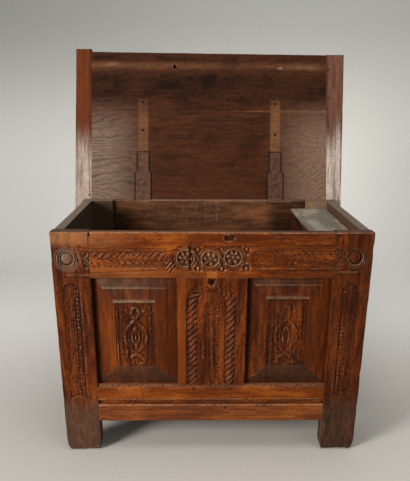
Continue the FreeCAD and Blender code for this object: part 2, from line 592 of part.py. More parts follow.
# Back
back_trench = box("back_trench", (TILL_SIDE_IN + " - joint_play", TILL_SIDE_OUT + " + joint_play"),
                  span(1, RAIL_IN + " - over", RAIL_IN + " + till_housing + joint_play"), trench)
back_extra = [back_trench]
for sx in (-1, 1):
    hinge = sided(sx, "hinge_offset")
    back_extra.append(box("strap_notch_cut", around(hinge, "strap_base_width/2 + notch_side"),
                          THROUGH, (RIM + " - strap_notch", RIM + " + over")))
    for far in ("back_nail_near", "back_nail_far"):
        bore = (HALF_D + " - nail_length - over", HALF_D + " + over")
        spot = PIN_Z + " - " + far
        back_extra.append(shaved("back_nail_bore", "Y", bore, hinge, spot, NAIL_HOLE, NAIL_SIDES))
rail("back_top_rail", 1, (TOP_LOW, RIM), TOP_TENON, UPPER_GROOVE, MUNTIN_ROWS[0], extra=back_extra)
back_slot = box("back_floor_slot", both(STILE_X + " + over"), span(1, *slot_y), FLOOR_SLOT)
rail("back_bottom_rail", 1, ("foot_height", LOW_TOP), LOW_TENON, LOWER_GROOVE, MUNTIN_ROWS[1],
     extra=[back_slot])
muntin("back_muntin", 1)
plain_panel("back_left_panel", -1)
plain_panel("back_right_panel", 1)

# Ends
till_groove = box("till_groove", (SIDE_IN + " - over", SIDE_IN + " + till_housing + joint_play"),
                  both(STILE_Y), (TILL_LOW + " - joint_play", TILL_FLOOR + " + joint_play"))
side_rail("left_top_rail", -1, (TOP_LOW, RIM), TOP_TENON, UPPER_GROOVE)
side_rail("left_bottom_rail", -1, ("foot_height", LOW_TOP), LOW_TENON, LOWER_GROOVE)
side_rail("right_top_rail", 1, (TOP_LOW, RIM), TOP_TENON, UPPER_GROOVE, [till_groove])
side_rail("right_bottom_rail", 1, ("foot_height", LOW_TOP), LOW_TENON, LOWER_GROOVE)
end_panel("left_panel", -1)
end_panel("right_panel", 1)

# Floor: four boards, the outer two cut round the stiles
FLOOR_Y = both(RAIL_IN + " + floor_tongue")
FLOOR_Z = (FLOOR_LOW, FLOOR_TOP)
for sx, end_name, mid_name in ((-1, "floor_board_left", "floor_board_mid_left"),
                               (1, "floor_board_right", "floor_board_mid_right")):
    split = SIDE_IN + "/2"
    piece(mid_name, box(mid_name, span(sx, "floor_gap/2", split + " - floor_gap/2"), FLOOR_Y, FLOOR_Z))
    wide = box(end_name + "_board", span(sx, split + " + floor_gap/2", STILE_X + " - floor_play"),
               FLOOR_Y, FLOOR_Z)
    notched = box(end_name + "_end", span(sx, split + " + floor_gap/2", SIDE_IN + " - floor_play"),
                  both(STILE_Y + " - floor_play"), FLOOR_Z)
    piece(end_name, join(end_name, [wide, notched]))

# Pegs of the frame
for label, sy in (("front_pegs", -1), ("back_pegs", 1)):
    run = span(sy, HALF_D + " - peg_length", HALF_D)
    short = span(sy, RAIL_IN, HALF_D)
    pegs = []
    for sx in (-1, 1):
        for row in PEG_ROWS:
            pegs.append(shaved(label + "_peg", "Y", run, sided(sx, PEG_X), row, "peg_radius"))
        for row in MUNTIN_ROWS:
            pegs.append(shaved(label + "_peg", "Y", short, sided(sx, MUNTIN_PEG_X), row, "peg_radius"))
    piece(label, group(label, pegs))
for label, sx in (("left_pegs", -1), ("right_pegs", 1)):
    run = span(sx, HALF_W + " - peg_length", HALF_W)
    pegs = [shaved(label + "_peg", "X", run, sided(sy, PEG_Y), row, "peg_radius")
            for sy in (-1, 1) for row in PEG_ROWS]
    piece(label, group(label, pegs))

patch_y = ("-(%s)" % HALF_D, "-(%s) + patch_depth" % HALF_D)
piece("lock_patch", box("lock_patch", both("patch_width/2"), patch_y, (TOP_LOW, TOP_LOW + " + patch_height")))

# Till: side in trenches of the rails, bottom housed in the side and the end rail, lid on wooden pintles
side_board = box("till_side_board", (TILL_SIDE_IN, TILL_SIDE_OUT), both(RAIL_IN + " + till_housing"),
                 (TILL_LOW, TILL_UNDER + " - till_rest_gap"))
side_slot = box("till_side_slot", (TILL_SIDE_OUT + " - till_housing - joint_play", TILL_SIDE_OUT + " + over"),
                both(STILE_Y + " + joint_play"), (TILL_LOW + " - joint_play", TILL_FLOOR + " + joint_play"))
piece("till_side", carve("till_side", side_board, [side_slot]))
piece("till_bottom", box("till_bottom", (TILL_SIDE_OUT + " - till_housing", SIDE_IN + " + till_housing"),
                         both(STILE_Y + " - joint_play"), (TILL_LOW, TILL_FLOOR)))
nosing = DOC.addObject("PartDesign::Body", "till_lid_section")
shape = outline(nosing, "till_lid_profile", "XZ_Plane", (
    ("0", "nosing_chamfer"), ("nosing_chamfer", "0"), ("till_reach", "0"),
    ("till_reach", "till_lid_thickness"), ("nosing_strip + nosing_line", "till_lid_thickness"),
    ("nosing_strip", "till_lid_thickness - nosing_line"),
    ("nosing_strip - nosing_line", "till_lid_thickness"),
    ("nosing_chamfer", "till_lid_thickness"), ("0", "till_lid_thickness - nosing_chamfer")))
pad(nosing, "till_lid_length", shape, "2*(%s - till_end_gap)" % STILE_Y, True)
place(nosing, TILL_LID_IN, "0", TILL_UNDER)
pintles = rod("till_pintles", "Y", both(STILE_Y + " + pintle_length"), PINTLE_X, PINTLE_Z, "pintle_radius")
piece("till_lid", join("till_lid", [nosing, pintles]))

# Hinges: straps down the back, pins, and straps let into the underside of the lid
pins = []
back_nails = []
lid_nails = []
BASE_HALF = "strap_base_width/2"
NECK_HALF = "strap_neck_width/2"
START = "-(knuckle_radius + knuckle_gap)"
END_KNUCKLE = "(knuckle_width/2 + knuckle_gap)"


def nail(name, axis, x, face, along):
    wide = "2*nail_head_radius"
    inset = "0.6*nail_head_radius"
    if axis == "Y":
        shank = shaved(name + "_shank", "Y", (face + " - nail_length", face), x, along, "nail_radius",
                       NAIL_SIDES)
        head = frustum(name + "_head", AXIS_Z, 0, x, face, along + " - nail_head_radius", wide, wide,
                       "nail_head_rise", inset)
    else:
        shank = shaved(name + "_shank", "Z", (face, face + " + nail_length"), x, along, "nail_radius",
                       NAIL_SIDES)
        head = frustum(name + "_head", AXIS_X, -90, x, along + " - nail_head_radius", face, wide, wide,
                       "nail_head_rise", inset)
    return join(name, [shank, head])


for sx, side in ((-1, "left"), (1, "right")):
    hinge = sided(sx, "hinge_offset")
    label = side + "_back_strap"
    strap_face = HALF_D + " + strap_thickness"
    leaf = box(label + "_leaf", around(hinge, BASE_HALF), (HALF_D, strap_face),
               (PIN_Z + " - back_strap_length", PIN_Z))
    barrel = rod(label + "_barrel", "X", around(hinge, BASE_HALF), PIN_Y, PIN_Z, "knuckle_radius")
    gap = box(label + "_gap", around(hinge, END_KNUCKLE),
              (HALF_D + " - over", HALF_D + " + 3*knuckle_radius"),
              (PIN_Z + " - knuckle_radius - knuckle_gap", PIN_Z + " + 2*knuckle_radius"))
    bore = rod(label + "_bore", "X", around(hinge, BASE_HALF + " + over"), PIN_Y, PIN_Z, PIN_HOLE)
    tools = [gap, bore]
    for far in ("back_nail_near", "back_nail_far"):
        spot = PIN_Z + " - " + far
        tools.append(shaved(label + "_nail_bore", "Y", (HALF_D + " - over", strap_face + " + over"), hinge,
                            spot, NAIL_HOLE, NAIL_SIDES))
        back_nails.append(nail(label + "_" + far, "Y", hinge, strap_face, spot))
    piece(label, carve(label, join(label + "_stock", [leaf, barrel]), tools))
    pins.append(rod(side + "_pin", "X", around(hinge, BASE_HALF), PIN_Y, PIN_Z, "pin_radius"))

    label = side + "_lid_strap"
    body = DOC.addObject("PartDesign::Body", label + "_body")
    plan = outline(body, label + "_plan", "XY_Plane", (
        ("-(%s)" % BASE_HALF, START), (BASE_HALF, START), (BASE_HALF, "-strap_base_length"),
        (NECK_HALF, "-strap_base_length - strap_shoulder"), (NECK_HALF, "-strap_length"),
        ("-(%s)" % NECK_HALF, "-strap_length"), ("-(%s)" % NECK_HALF, "-strap_base_length - strap_shoulder"),
        ("-(%s)" % BASE_HALF, "-strap_base_length")))
    pad(body, label + "_thickness", plan, "strap_thickness")
    place(body, hinge, "0", STRAP_FACE)
    tab = box(label + "_tab", around(hinge, "knuckle_width/2"), (START + " - over", "0"),
              (STRAP_FACE, STRAP_TOP))
    barrel = rod(label + "_barrel", "X", around(hinge, "knuckle_width/2"), "0", "0", "knuckle_radius")
    tools = [rod(label + "_bore", "X", around(hinge, BASE_HALF + " + over"), "0", "0", PIN_HOLE)]
    for far in ("nail_near", "nail_far"):
        tools.append(shaved(label + "_nail_bore", "Z", (STRAP_FACE + " - over", STRAP_TOP + " + over"), hinge,
                            "-" + far, NAIL_HOLE, NAIL_SIDES))
        lid_nails.append(nail(label + "_" + far, "Z", hinge, STRAP_FACE, "-" + far))
    lid_piece(label, carve(label, join(label + "_stock", [body, tab, barrel]), tools))
piece("hinge_pins", group("hinge_pins", pins))
piece("back_strap_nails", group("back_strap_nails", back_nails))
lid_piece("lid_strap_nails", group("lid_strap_nails", lid_nails))

# Lid: two boards held by cleats across their ends, shown leaning open on the back of the chest
BOARD_Z = (UNDERSIDE, UPSIDE)
TONGUE_Z = around("(%s + lid_thickness/2)" % UNDERSIDE, "cleat_tongue_thickness/2")
SLOT_Z = around("(%s + lid_thickness/2)" % UNDERSIDE, "cleat_tongue_thickness/2 + joint_play")
CLEAT_PEG_X = "(lid_width/2 - cleat_width + cleat_tongue/2)"
CLEAT_PEG_HOLE = "cleat_peg_radius + peg_fit"
FRONT_BOARD_Y = ("-lid_reach", BOARD_SPLIT)
BACK_BOARD_Y = (BOARD_SPLIT + " + board_gap", REAR)
PEG_YS = tuple(
    edge for low, high in (FRONT_BOARD_Y, BACK_BOARD_Y)
    for edge in (low + " + cleat_peg_margin", high + " - cleat_peg_margin"))


def lid_board(label, ys, rows, extra=()):
    stock = [box(label + "_board", both(BOARD_X), ys, BOARD_Z),
             box(label + "_tongue", both(BOARD_X + " + cleat_tongue"), ys, TONGUE_Z)]
    tools = [shaved(label + "_bore", "Z", BOARD_Z, sided(sx, CLEAT_PEG_X), row, CLEAT_PEG_HOLE)
             for sx in (-1, 1) for row in rows]
    tools.extend(extra)
    return lid_piece(label, carve(label, join(label + "_stock", stock), tools))


seats = []
for sx in (-1, 1):
    hinge = sided(sx, "hinge_offset")
    seat_z = (UNDERSIDE + " - over", STRAP_TOP)
    seats.append(box("strap_seat_base", around(hinge, BASE_HALF + " + strap_seat"),
                     ("-strap_base_length - strap_shoulder - strap_seat", REAR + " + over"), seat_z))
    seats.append(box("strap_seat_neck", around(hinge, NECK_HALF + " + strap_seat"),
                     ("-strap_length - strap_seat", "-strap_base_length"), seat_z))
    seats.append(box("knuckle_pocket_cut", around(hinge, BASE_HALF + " + notch_side"),
                     (START + " - 2*over", REAR + " + over"),
                     (UNDERSIDE + " - over", UNDERSIDE + " + knuckle_pocket")))
    for far in ("nail_near", "nail_far"):
        bore = (STRAP_TOP + " - over", STRAP_TOP + " + nail_length + over")
        seats.append(shaved("lid_nail_bore", "Z", bore, hinge, "-" + far, NAIL_HOLE, NAIL_SIDES))
lid_board("lid_front_board", FRONT_BOARD_Y, PEG_YS[:2])
lid_board("lid_back_board", BACK_BOARD_Y, PEG_YS[2:], seats)
lid_pegs = []
for sx, side, proud in ((-1, "left", "left_cleat_proud"), (1, "right", "right_cleat_proud")):
    label = "lid_%s_cleat" % side
    ys = ("-lid_reach - " + proud, REAR)
    bar = box(label + "_bar", span(sx, BOARD_X, "lid_width/2"), ys, BOARD_Z)
    slot = box(label + "_slot", span(sx, BOARD_X + " - over", BOARD_X + " + cleat_tongue + over"),
               ("-lid_reach - board_gap", REAR + " + over"), SLOT_Z)
    cuts = [slot]
    for row in PEG_YS:
        cuts.append(shaved(label + "_bore", "Z", (UNDERSIDE + " - over", UPSIDE + " + over"),
                           sided(sx, CLEAT_PEG_X), row, CLEAT_PEG_HOLE))
        lid_pegs.append(shaved("lid_peg", "Z", BOARD_Z, sided(sx, CLEAT_PEG_X), row, "cleat_peg_radius"))
    lid_piece(label, carve(label, bar, cuts))
lid_piece("lid_pegs", group("lid_pegs", lid_pegs))

DOC.recompute()
for item in DOC.Objects:
    if "Invalid" in item.State or "Error" in item.State:
        raise RuntimeError("%s did not build: %s" % (item.Label, item.State))
os.makedirs("parts", exist_ok=True)
for item in PIECES:
    if item.Shape.isNull() or not item.Shape.isValid() or not item.Shape.Solids:
        raise RuntimeError("%s has no sound solid" % item.Label)
    item.Shape.exportStep("parts/%s.step" % item.Label)
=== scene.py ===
# A joined oak coffer with a carved front, its planked lid thrown open.
import json
import math

import bpy
import numpy as np
from mathutils import Matrix, Vector


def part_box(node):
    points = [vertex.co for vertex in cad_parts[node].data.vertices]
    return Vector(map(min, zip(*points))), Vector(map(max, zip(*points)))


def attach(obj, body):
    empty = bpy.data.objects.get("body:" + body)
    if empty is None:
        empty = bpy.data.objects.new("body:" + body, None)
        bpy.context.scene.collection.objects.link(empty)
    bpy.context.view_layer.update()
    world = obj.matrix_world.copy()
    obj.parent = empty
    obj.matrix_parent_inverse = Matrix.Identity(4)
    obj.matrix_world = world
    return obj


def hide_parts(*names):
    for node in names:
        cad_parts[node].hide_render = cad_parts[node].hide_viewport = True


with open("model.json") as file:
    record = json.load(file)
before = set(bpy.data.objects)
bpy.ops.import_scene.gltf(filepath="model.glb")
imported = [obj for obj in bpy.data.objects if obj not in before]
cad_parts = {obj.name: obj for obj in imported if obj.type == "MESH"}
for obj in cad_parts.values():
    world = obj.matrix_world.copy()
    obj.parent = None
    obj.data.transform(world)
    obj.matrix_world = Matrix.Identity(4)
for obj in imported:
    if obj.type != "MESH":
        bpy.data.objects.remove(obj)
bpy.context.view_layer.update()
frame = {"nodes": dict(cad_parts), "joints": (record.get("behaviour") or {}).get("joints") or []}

MM = 0.001

# Where the front's members meet, in millimetres from the middle and from the floor.
FACE_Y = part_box("front_left_stile")[0].y
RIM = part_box("front_left_stile")[1].z / MM
LEFT_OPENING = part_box("front_left_stile")[1].x / MM
RIGHT_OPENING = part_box("front_right_stile")[0].x / MM
MUNTIN_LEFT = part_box("front_muntin")[0].x / MM
MUNTIN_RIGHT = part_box("front_muntin")[1].x / MM
TOP_RAIL_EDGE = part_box("front_top_rail")[0].z / MM
BOTTOM_RAIL_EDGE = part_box("front_bottom_rail")[1].z / MM

# The camera stands a little left of the middle, above the rim, and looks slightly down.
CAMERA_PLACE = Vector((-0.0418, FACE_Y - 1.4390, 1.0705))
CAMERA_YAW = math.radians(0.825)
CAMERA_PITCH = math.radians(18.422)
CAMERA_ROLL = math.radians(-0.326)
CAMERA_LENS = 40.335
CAMERA_SHIFT = 0.0659

# The front's own plane: across, up, and out of the face.
FRONT = Matrix(((1, 0, 0, 0), (0, 0, -1, FACE_Y), (0, 1, 0, 0), (0, 0, 0, 1)))


def hinge(name):
    return next(joint for joint in frame["joints"] if joint["name"] == name)


def lid_plane():
    """Across, from the pin towards the front edge, and out of the underside, at the lid's opening."""
    pin = Vector(hinge("lid_hinge")["pos_m"])
    opening = math.radians(hinge("lid_hinge")["range_deg"][1])
    shut = Matrix(((1, 0, 0, 0), (0, -1, 0, 0), (0, 0, -1, 0), (0, 0, 0, 1)))
    return Matrix.Translation(pin) @ Matrix.Rotation(-opening, 4, "X") @ shut


LID = lid_plane()

# Carving arithmetic, in millimetres. A place or a reach is a pair: across, then up or along.
DRIFT_CELLS = 97


def half_round(value):
    """A bead's section: 1 in its middle, 0 from -1 and 1 outwards."""
    return np.sqrt(np.clip(1 - value * value, 0, 1))


def ease(low, high, value):
    """A smooth climb from 0 at low to 1 at high."""
    share = np.clip((value - low) / (high - low), 0, 1)
    return share * share * (3 - 2 * share)


def between(low, high, soft, value):
    return ease(low - soft, low + soft, value) * (1 - ease(high - soft, high + soft, value))


def highest(*shapes):
    return np.maximum.reduce(shapes)


def drift(across, along, cell_across, cell_along, seed):
    """Smooth random drift between 0 and 1, in cells of the given sizes."""
    table = np.random.default_rng(seed).random((DRIFT_CELLS, DRIFT_CELLS))
    column = np.floor(across / cell_across).astype(int)
    row = np.floor(along / cell_along).astype(int)
    rightward = ease(0, 1, across / cell_across - column)
    upward = ease(0, 1, along / cell_along - row)

    def blended(level):
        left = table[column % DRIFT_CELLS, level % DRIFT_CELLS]
        right = table[(column + 1) % DRIFT_CELLS, level % DRIFT_CELLS]
        return left * (1 - rightward) + right * rightward

    return blended(row) * (1 - upward) + blended(row + 1) * upward


def sway(swing, *where):
    """Drift to both sides of nothing, half the swing at most."""
    return swing * (drift(*where) - 0.5)


def distance(x, z, place):
    return np.hypot(x - place[0], z - place[1])


def oval(x, z, place, reach):
    """Distance from a place in shares of an oval's half widths: 1 on its outline."""
    return np.hypot((x - place[0]) / reach[0], (z - place[1]) / reach[1])


def spot(x, z, place, reach):
    """A soft spot, 1 in its middle."""
    return np.exp(-oval(x, z, place, reach) ** 2)


def seam(gap, half):
    """A soft line, 1 in its middle."""
    return np.exp(-(gap / half) ** 2)


def to_segment(x, z, start, end):
    """Distance from each point to a straight stroke."""
    run = end[0] - start[0]
    rise = end[1] - start[1]
    share = np.clip(((x - start[0]) * run + (z - start[1]) * rise) / (run * run + rise * rise), 0, 1)
    return np.hypot(x - start[0] - share * run, z - start[1] - share * rise)


def to_slab(x, z, low, high, corner):
    """Signed distance to a rectangle with round corners, negative inside."""
    out_x = np.abs(x - (low[0] + high[0]) / 2) - (high[0] - low[0]) / 2 + corner
    out_z = np.abs(z - (low[1] + high[1]) / 2) - (high[1] - low[1]) / 2 + corner
    beyond = np.hypot(np.maximum(out_x, 0), np.maximum(out_z, 0))
    return beyond + np.minimum(np.maximum(out_x, out_z), 0) - corner


def inside(gap, slope):
    return ease(0, slope, -gap)


def scratch(gap, half, depth):
    return -depth * half_round(gap / half)


def scored(height, x, z, lines):
    """A face with straight lines cut in it, each a start, an end, a half width and a depth."""
    for start, end, half, depth in lines:
        height = height + scratch(to_segment(x, z, start, end), half, depth)
    return height


def bead_string(off, z, half, pitch, length):
    """Beads up a line; off is the distance from it, length a bead's half length in pitches."""
    return half_round(np.hypot(off / half, ((z / pitch) % 1.0 - 0.5) / length))


def splinters(x, z, cells):
    """Splinters standing in a torn place; cells are their two sizes and a seed."""
    return ease(0.55, 0.75, drift(x, z, *cells))


# Laurel: slanting leaves above a stem, round lobes below it.
LEAF_LEAN = 0.9
LEAF_TIP = (17, 24)
LOBE_PLACE = (0.5, 10)
LOBE_REACH = (0.44, 8.5)
STEM_HALF = 2.2


def laurel(x, reach, pitch):
    """Leaves and lobes from 0 to 1; reach is the distance up from the stem."""
    spread = np.abs(reach)
    phase = ((x - LEAF_LEAN * spread) / pitch) % 1.0
    leaf = ease(0.0, 0.3, phase) * (1 - 0.9 * ease(0.55, 1.0, phase)) * (1 - ease(*LEAF_TIP, spread))
    vein = 0.5 * half_round((phase - 0.42) / 0.08)
    lobe = half_round(oval(phase, spread, LOBE_PLACE, LOBE_REACH))
    stem = 0.7 * half_round(spread / STEM_HALF)
    return np.maximum(np.where(reach > 0, leaf - vein, 0.75 * lobe), stem)


# The frieze along the top rail. A bed is a slab: two corners, then the radius of all four.
FRIEZE_MIDDLE = 629
FRIEZE_DEPTH = 4.6
MIDDLE_DEPTH = 1.15 * FRIEZE_DEPTH
LEFT_BED = ((-372, 603), (-124, 653), 8)
RIGHT_BED = ((111, 603), (375, 657), 24)
MIDDLE_BED = ((-124, 591), (106, 669), 5)
BED_SLOPE = 2
MIDDLE_SLOPE = 4.5
LEFT_LEAF_PITCH = 18
RIGHT_LEAF_PITCH = 20
ROSETTES = ((-76, 631), (-6, 629), (58, 633))
ROSETTE_RADIUS = 25
ROSETTE_RING_HALF = 2.8
ROSETTE_BED = 39.5
PETAL_MIDDLE = 0.54 * ROSETTE_RADIUS
PETAL_HALF = 0.38 * ROSETTE_RADIUS
ROSETTE_BOSS = 0.24 * ROSETTE_RADIUS
RING_REACH = 32
BAND_HALF = 4.6
BAND_SLOPE = 2.2
BAND_GROOVE = 2.0
BAND_CLEAR = 1.6
BAND_END = (20, 25)
SPANDRELS = (-41, 26, 96)
DART_LIFT = 29
DART_REACH = (5, 8)
POCKET_LIFT = 26
POCKET_REACH = 13
SLANT_CUTS = tuple(((-131 + 6 * step, 607 - 8 * step), (-117 + 6 * step, 624 - 8 * step), 2.6, 3.4)
                   for step in range(3))
LEFT_LINES = (((-460, 658), (-126, 658), 1.6, 1.8), ((-372, 586), (-126, 598), 1.8, 2.2))
RIGHT_LINES = tuple(((106, level - 2), (460, level), 1.6, 1.8) for level in (597, 661, 669))


def rosette(x, z, place):
    """A thin ring round six worn petals and a small boss, from 0 at the ground to 1."""
    rho = distance(x, z, place)
    turn = np.arctan2(z - place[1], x - place[0]) + sway(0.5, x, z, 17, 17, 38)
    worn = 0.55 + 0.5 * drift(x, z, 11, 11, 37)
    ring = half_round((rho - ROSETTE_RADIUS) / ROSETTE_RING_HALF)
    petals = half_round(np.hypot((rho - PETAL_MIDDLE) / PETAL_HALF, np.sin(3 * turn + 0.4) / 0.94))
    boss = half_round(rho / ROSETTE_BOSS)
    return highest(ring, 0.85 * worn * petals, 0.95 * worn * boss)


def guilloche_band(gap):
    """A flat band with a groove along its middle, by the distance from that middle."""
    return ease(0, BAND_SLOPE, BAND_HALF - gap) * (1 - 0.4 * half_round(gap / BAND_GROOVE))


def guilloche(x, z):
    """Rings round the rosettes, joined by straps that pass from the head of one to the foot of the next."""
    shape = np.zeros_like(x)
    for place in ROSETTES:
        shape = np.maximum(shape, guilloche_band(np.abs(distance(x, z, place) - RING_REACH)))
    for here, there in zip(ROSETTES, ROSETTES[1:]):
        head = (here[0] + BAND_END[0], here[1] + BAND_END[1])
        foot = (there[0] - BAND_END[0], there[1] - BAND_END[1])
        gap = to_segment(x, z, head, foot)
        shape = np.where(gap < BAND_HALF + BAND_CLEAR, guilloche_band(gap), shape)
    return shape


def frieze_leaves(x, z):
    """The laurel of the left bed, and of the right one, which is worn nearly flat."""
    lift = z - FRIEZE_MIDDLE
    unsteady = sway(14, x, z, 40, 60, 7)
    left = laurel(x + unsteady, lift, LEFT_LEAF_PITCH) * (0.45 + 0.65 * drift(x, z, 12, 12, 8))
    left = 0.22 + 0.78 * left + 0.55 * (drift(x - 0.8 * lift, lift, 4, 12, 18) - 0.35)
    right = laurel(-x - unsteady, lift - 1, RIGHT_LEAF_PITCH) * ease(0.3, 0.7, drift(x, z, 46, 20, 9))
    right = 0.4 + 0.45 * right + 0.5 * (drift(x + 0.8 * lift, lift, 5, 12, 19) - 0.4)
    return np.clip(left, 0, 1), np.clip(right, 0, 1)


def frieze_middle(x, z):
    """Guilloche, rosettes and darts from 0 to 1, and the signed distance to the edge of their bed."""
    shape = guilloche(x, z)
    gap = np.full_like(x, np.inf)
    for place in ROSETTES:
        shape = np.maximum(shape, rosette(x, z, place))
        gap = np.minimum(gap, distance(x, z, place) - ROSETTE_BED)
    for place in SPANDRELS:
        for side in (-1, 1):
            dart = oval(x, z, (place, FRIEZE_MIDDLE + side * DART_LIFT), DART_REACH)
            shape = np.maximum(shape, 0.85 * half_round(dart))
            pocket = distance(x, z, (place, FRIEZE_MIDDLE + side * POCKET_LIFT))
            gap = np.minimum(gap, pocket - POCKET_REACH)
    return shape, np.maximum(gap, to_slab(x, z, *MIDDLE_BED))


def frieze(x, z):
    """Height of the top rail's face, from its laurel beds to the guilloche in the middle."""
    left, right = frieze_leaves(x, z)
    middle, gap = frieze_middle(x, z)
    height = -FRIEZE_DEPTH * (1 - left) * inside(to_slab(x, z, *LEFT_BED), BED_SLOPE)
    height -= FRIEZE_DEPTH * (1 - right) * inside(to_slab(x, z, *RIGHT_BED), BED_SLOPE)
    height -= MIDDLE_DEPTH * (1 - middle) * inside(gap, MIDDLE_SLOPE)
    return scored(height, x, z, SLANT_CUTS + LEFT_LINES + RIGHT_LINES)


# The top rail's damage: a crack, a place torn at the rim, and a wedge lost at the left joint.
CRACK_PLACE = -62
CRACK_HALF = 3.5
CRACK_DEPTH = 3.5
CRACK_RUN = (598, 664)
TORN_RIM = (47, 690)
TORN_RIM_REACH = (18, 9.5)
RIM_SPLINTERS = (5, 4, 6)
SPLINTER_TOP = 691
WEDGE = ((LEFT_OPENING, RIM + 2), (LEFT_OPENING + 5, RIM - 9))
WEDGE_HALF = 3.5
WEDGE_DEPTH = 8


def rim_splinters(x, z):
    return splinters(x, z, RIM_SPLINTERS) * (z < SPLINTER_TOP)


def top_rail_height(x, z):
    height = frieze(x, z)
    crack = np.abs(x - CRACK_PLACE + sway(5, x, z, 40, 14, 3))
    height -= CRACK_DEPTH * half_round(crack / CRACK_HALF) * between(*CRACK_RUN, 4, z)
    lost = oval(x, z, TORN_RIM, TORN_RIM_REACH) - 1 + sway(0.5, x, z, 5, 5, 5)
    height -= (6 - 4 * rim_splinters(x, z)) * inside(9 * lost, 4)
    return height - WEDGE_DEPTH * inside(to_segment(x, z, *WEDGE) - WEDGE_HALF, 3)


# The stiles: a roundel at the head of each, and a long arched strip below it.
STILE_ROUNDELS = ((-407, 628), (402, 633))
ROUNDEL_BOSS = 16
ROUNDEL_RING = 22
ROUNDEL_RING_HALF = 2.7
ROUNDEL_ARC = (-170, 60)
ROUNDEL_BOWL = 27
BOWL_DEPTH = 5.0
ROUNDEL_LINES = ((31, 2.4, 3.2), (36.5, 2.0, 2.2))
STRIP_EDGES = (-427, 423)
STRIP_HALF = 26
STRIP_CROWN = 560
STRIP_FOOT = 192
STRIP_FLUTE = (7, 23)
STRIP_LINES = ((27, 2.4, 2.0), (3.5, 1.8, 1.6))
STRIP_CHAIN = (32, 50)
CHAIN_MIDDLE = 41
CHAIN_BEAD = dict(half=7, pitch=12.5, length=0.47)
LEFT_STILE_STRAP = ((-378, 661), (-361, 588))
STRAP_EDGE = 6.5
STRAP_LEVELS = (590, 660)
STILE_LEAF_PITCH = 15
LEFT_STILE_LINES = (((-414, 587), (-330, 587), 2.0, 2.2), ((-414, 574), (-330, 574), 2.0, 2.2),
                    ((-400, 664), (-330, 659), 1.6, 1.8))
RIGHT_STILE_LINES = (((336, 597), (411, 597), 2.0, 2.2), ((336, 585), (411, 585), 2.0, 2.2),
                     ((330, 670), (395, 672), 1.6, 1.8))
RIGHT_CURLS = ((408, 545), (386, 203), (411, 208))
CURL_RADIUS = 5.5
HALF_RINGS = (346, 631)
HALF_RING_RADII = (13, 20, 27)
HALF_RING_START = 344
STILE_CHIP = (352, 697)
STILE_CHIP_REACH = (7, 8)


def roundel(x, z, place):
    """A round boss in a ringed bowl, with wider rings nested round it."""
    rho = distance(x, z, place)
    turn = np.degrees(np.arctan2(z - place[1], x - place[0]))
    boss = half_round(distance(x, z, (place[0] - 1, place[1] + 1)) / ROUNDEL_BOSS)
    arc = 0.45 + 0.55 * between(*ROUNDEL_ARC, 30, turn)
    ring = arc * half_round((rho - ROUNDEL_RING) / ROUNDEL_RING_HALF)
    bowl = -BOWL_DEPTH * (1 - np.maximum(boss, ring)) * ease(0, 2.5, ROUNDEL_BOWL - rho)
    kept = 0.4 + 0.6 * drift(x, z, 16, 16, 29)
    return bowl + kept * sum(scratch(rho - reach, half, depth) for reach, half, depth in ROUNDEL_LINES)


def strip(x, z, edge, side):
    """A shallow flute beside a chain of beads, under one arch; edge is its outer line."""
    out = side * (edge - x)
    bow = ((out - STRIP_HALF) / STRIP_HALF) ** 2
    run = ease(0, 3, STRIP_CROWN - 18 * bow - z) * ease(0, 3, z - STRIP_FOOT + 12 * bow)
    bed = -1.6 * between(0.5, 2 * STRIP_HALF - 0.5, 1, out)
    flute = -2.4 * between(*STRIP_FLUTE, 2, out)
    flute = flute + sum(scratch(out - place, half, depth) for place, half, depth in STRIP_LINES)
    bead = bead_string(out - CHAIN_MIDDLE, z, **CHAIN_BEAD) * (0.45 + 0.6 * drift(x, z, 20, 9, 27))
    chain = -2.8 * between(*STRIP_CHAIN, 1.5, out) * (1 - bead)
    return run * (bed + flute + chain)


def left_stile_height(x, z):
    height = roundel(x, z, STILE_ROUNDELS[0]) + strip(x, z, STRIP_EDGES[0], -1)
    strap = to_segment(x, z, *LEFT_STILE_STRAP)
    leaves = laurel(x + 3, (z - FRIEZE_MIDDLE - 1) * 0.9, STILE_LEAF_PITCH)
    height -= FRIEZE_DEPTH * (1 - leaves) * inside(to_slab(x, z, *LEFT_BED), BED_SLOPE) * ease(6, 8, strap)
    height += scratch(strap - STRAP_EDGE, 1.8, 2.6) * between(*STRAP_LEVELS, 3, z)
    return scored(height, x, z, LEFT_STILE_LINES)


def right_stile_height(x, z):
    worn = 0.45 + 0.5 * drift(x, z, 22, 34, 30)
    height = roundel(x, z, STILE_ROUNDELS[1]) + worn * strip(x, z, STRIP_EDGES[1], 1)
    for place in RIGHT_CURLS:
        height += scratch(distance(x, z, place) - CURL_RADIUS, 2.2, 2.6)
    for radius in HALF_RING_RADII:
        height += scratch(distance(x, z, HALF_RINGS) - radius, 2.2, 2.8) * (x > HALF_RING_START)
    height = scored(height, x, z, RIGHT_STILE_LINES)
    chip = oval(x, z, STILE_CHIP, STILE_CHIP_REACH) - 1 + 0.5 * drift(x, z, 4, 4, 17)
    return height - 3 * inside(chip * 6, 3)


